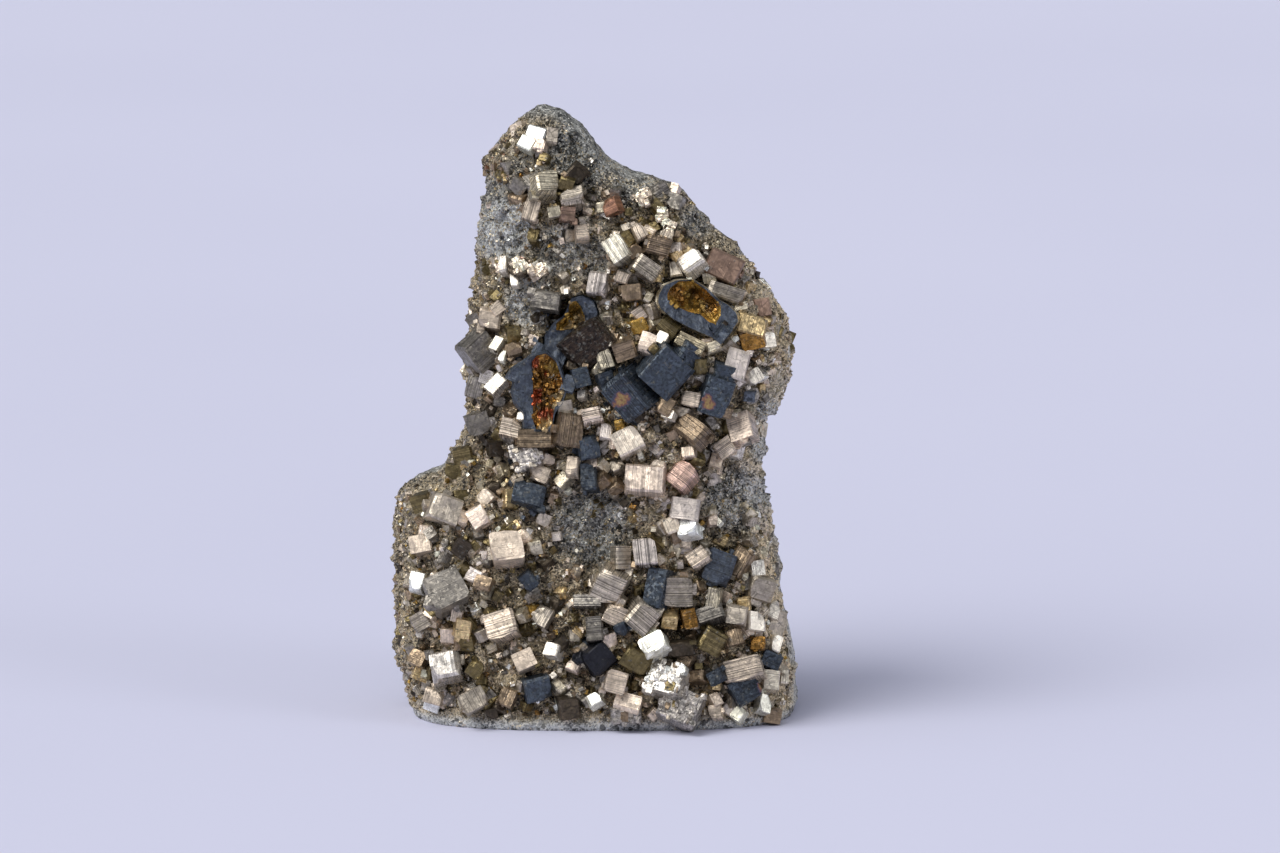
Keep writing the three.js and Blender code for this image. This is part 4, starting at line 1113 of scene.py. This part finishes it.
# The places where the small crystals differ: across, up, reach and kind.
PATCHES = [
    (3, 28, 4, "tarnished"), (-4.5, 30, 3.5, "tarnished"), (10, 27, 2.5, "tarnished"),
    (2, 8, 6, "golden"), (-1, 21.5, 2, "tarnished"), (-7, 19, 3, "tarnished"), (9.5, 13, 2, "tarnished"),
    (12.5, 4.5, 3, "tarnished"), (0, 5.5, 2, "tarnished"), (10.5, 7.5, 2.2, "golden"),
    (12.3, 31.7, 2.2, "golden"), (-5, 44.5, 3.5, "golden"), (6, 41, 3, "golden"),
    (-6.8, 45, 3.2, "rusty"), (13.6, 2.5, 2, "pale"), (14, 6.5, 1.8, "pale"), (13.6, 10, 1.8, "pale"),
    (13, 14, 1.8, "pale"), (12.5, 18, 2, "pale"), (14.2, 28, 2.2, "pale"), (13.5, 24.5, 1.8, "pale"),
    (-7, 37, 1.5, "bright"), (-5.2, 36.4, 1.5, "bright"), (11.5, 34.5, 2.5, "pale"),
    (9.5, 39.5, 2, "pale"),
]
MEDIUM_TRIES = 3000
FINE_TRIES = 15000
# The smallest size, what the largest adds to it, and how strongly the sizes lean to the small.
MEDIUM_SIZES = (0.5, 0.75, 1.8)
FINE_SIZES = (0.16, 0.28, 2)
LARGEST_WHITE = 0.6
# Further round than this, in degrees, the crystals look aside with the rock, and lie deeper in it.
ROUND_THE_SIDE = 50
# The height that parts the two pieces of medium crystals.
HALF_WAY_UP = 24
# The finest are plain cubes.
BOX = [(x, y, z) for x in (-1, 1) for y in (-1, 1) for z in (-1, 1)]
BOX_FACES = [(0, 1, 3, 2), (4, 6, 7, 5), (0, 4, 5, 1), (2, 3, 7, 6), (0, 2, 6, 4), (1, 5, 7, 3)]
upper, lower, finest = Druse(), Druse(), Druse()
# They are tried at random over the rock's whole grid, less often where it is denser, and kept where
# the rock is rough.
grid_step = np.linalg.norm(smooth_places - np.roll(smooth_places, 1, axis=1), axis=2)
for number in range(MEDIUM_TRIES + FINE_TRIES):
    is_medium = number < MEDIUM_TRIES
    ring, column = draw.randrange(5, rows - 8), draw.randrange(columns)
    at = ring * columns + column
    smallest, more, leaning = MEDIUM_SIZES if is_medium else FINE_SIZES
    size = smallest + more * draw.random() ** leaning
    if rough[at] < 0.6 or draw.random() > grid_step[ring, column] / 0.22:
        continue
    spot = Vector(smooth_places[ring, column]) + Vector([draw.uniform(-0.1, 0.1) for _ in range(3)])
    facing = Vector(outward[at])
    across, up = spot.x, (spot.y - FRONT_FOOT) * SEEN_UP.y + spot.z * SEEN_UP.z
    if is_medium and spot.z < size:
        continue
    bare = any(
        math.hypot(across - x, up - y) < reach * draw.uniform(0.7, 1.1) and draw.random() < share
        for x, y, reach, share, _ in BARE
    )
    if bare and (is_medium or draw.random() < 0.85):
        continue
    if any(inside_outline(across, up, outline) for outline in broken_outlines):
        continue
    kind = "bare" if bare else "everywhere"
    for x, y, reach, name in PATCHES:
        if not bare and math.hypot(across - x, up - y) < reach * draw.uniform(0.5, 1.1):
            kind = name
    choice = (MEDIUM if is_medium else FINE)[kind]
    finish = draw.choices(list(choice), list(choice.values()))[0]
    if finish == "white":
        size = min(size, LARGEST_WHITE)
    slant = draw.uniform(-45, 45)
    swing, tip = draw.uniform(-40, 40), draw.uniform(-40, 40)
    sideways = math.degrees(math.atan2(facing.x, -facing.y))
    raised = draw.uniform(-0.35, 0.1) - 0.3 * (1 - float(swell_share(spot.x, spot.z)))
    if abs(sideways) > ROUND_THE_SIDE:
        swing += sideways * 0.8
        raised -= 0.15
    else:
        swing, tip = towards_light(slant, swing, tip, LIT.get(finish, 0), spot.x > TURNS_RIGHT)
    turned = pose(slant, swing, tip)
    wide, deep, tall = (size * draw.uniform(0.75, 1.25) for _ in range(3))
    # Where the rock dips under a small grain, the grain is set down on it.
    dip = float(facing.dot(Vector(rock_places[at]) - Vector(smooth_places[ring, column])))
    centre = spot + facing * (raised * size + min(0, dip + 0.25 * size))
    if is_medium:
        shape = plated_cube(wide, deep, tall, curved=False)
        druse = upper if spot.z > HALF_WAY_UP else lower
        druse.grow(shape, turned, centre, finish, gritty=0.05)
    else:
        places = [Vector((x * wide, y * deep, z * tall)) / 2 for x, y, z in BOX]
        shape = places, BOX_FACES, [place.z for place in places]
        finest.grow(shape, turned, centre, finish, gritty=0.2)
upper.piece("small_crystals_above", pyrite)
lower.piece("small_crystals_below", pyrite)
finest.piece("finest_crystals", pyrite)
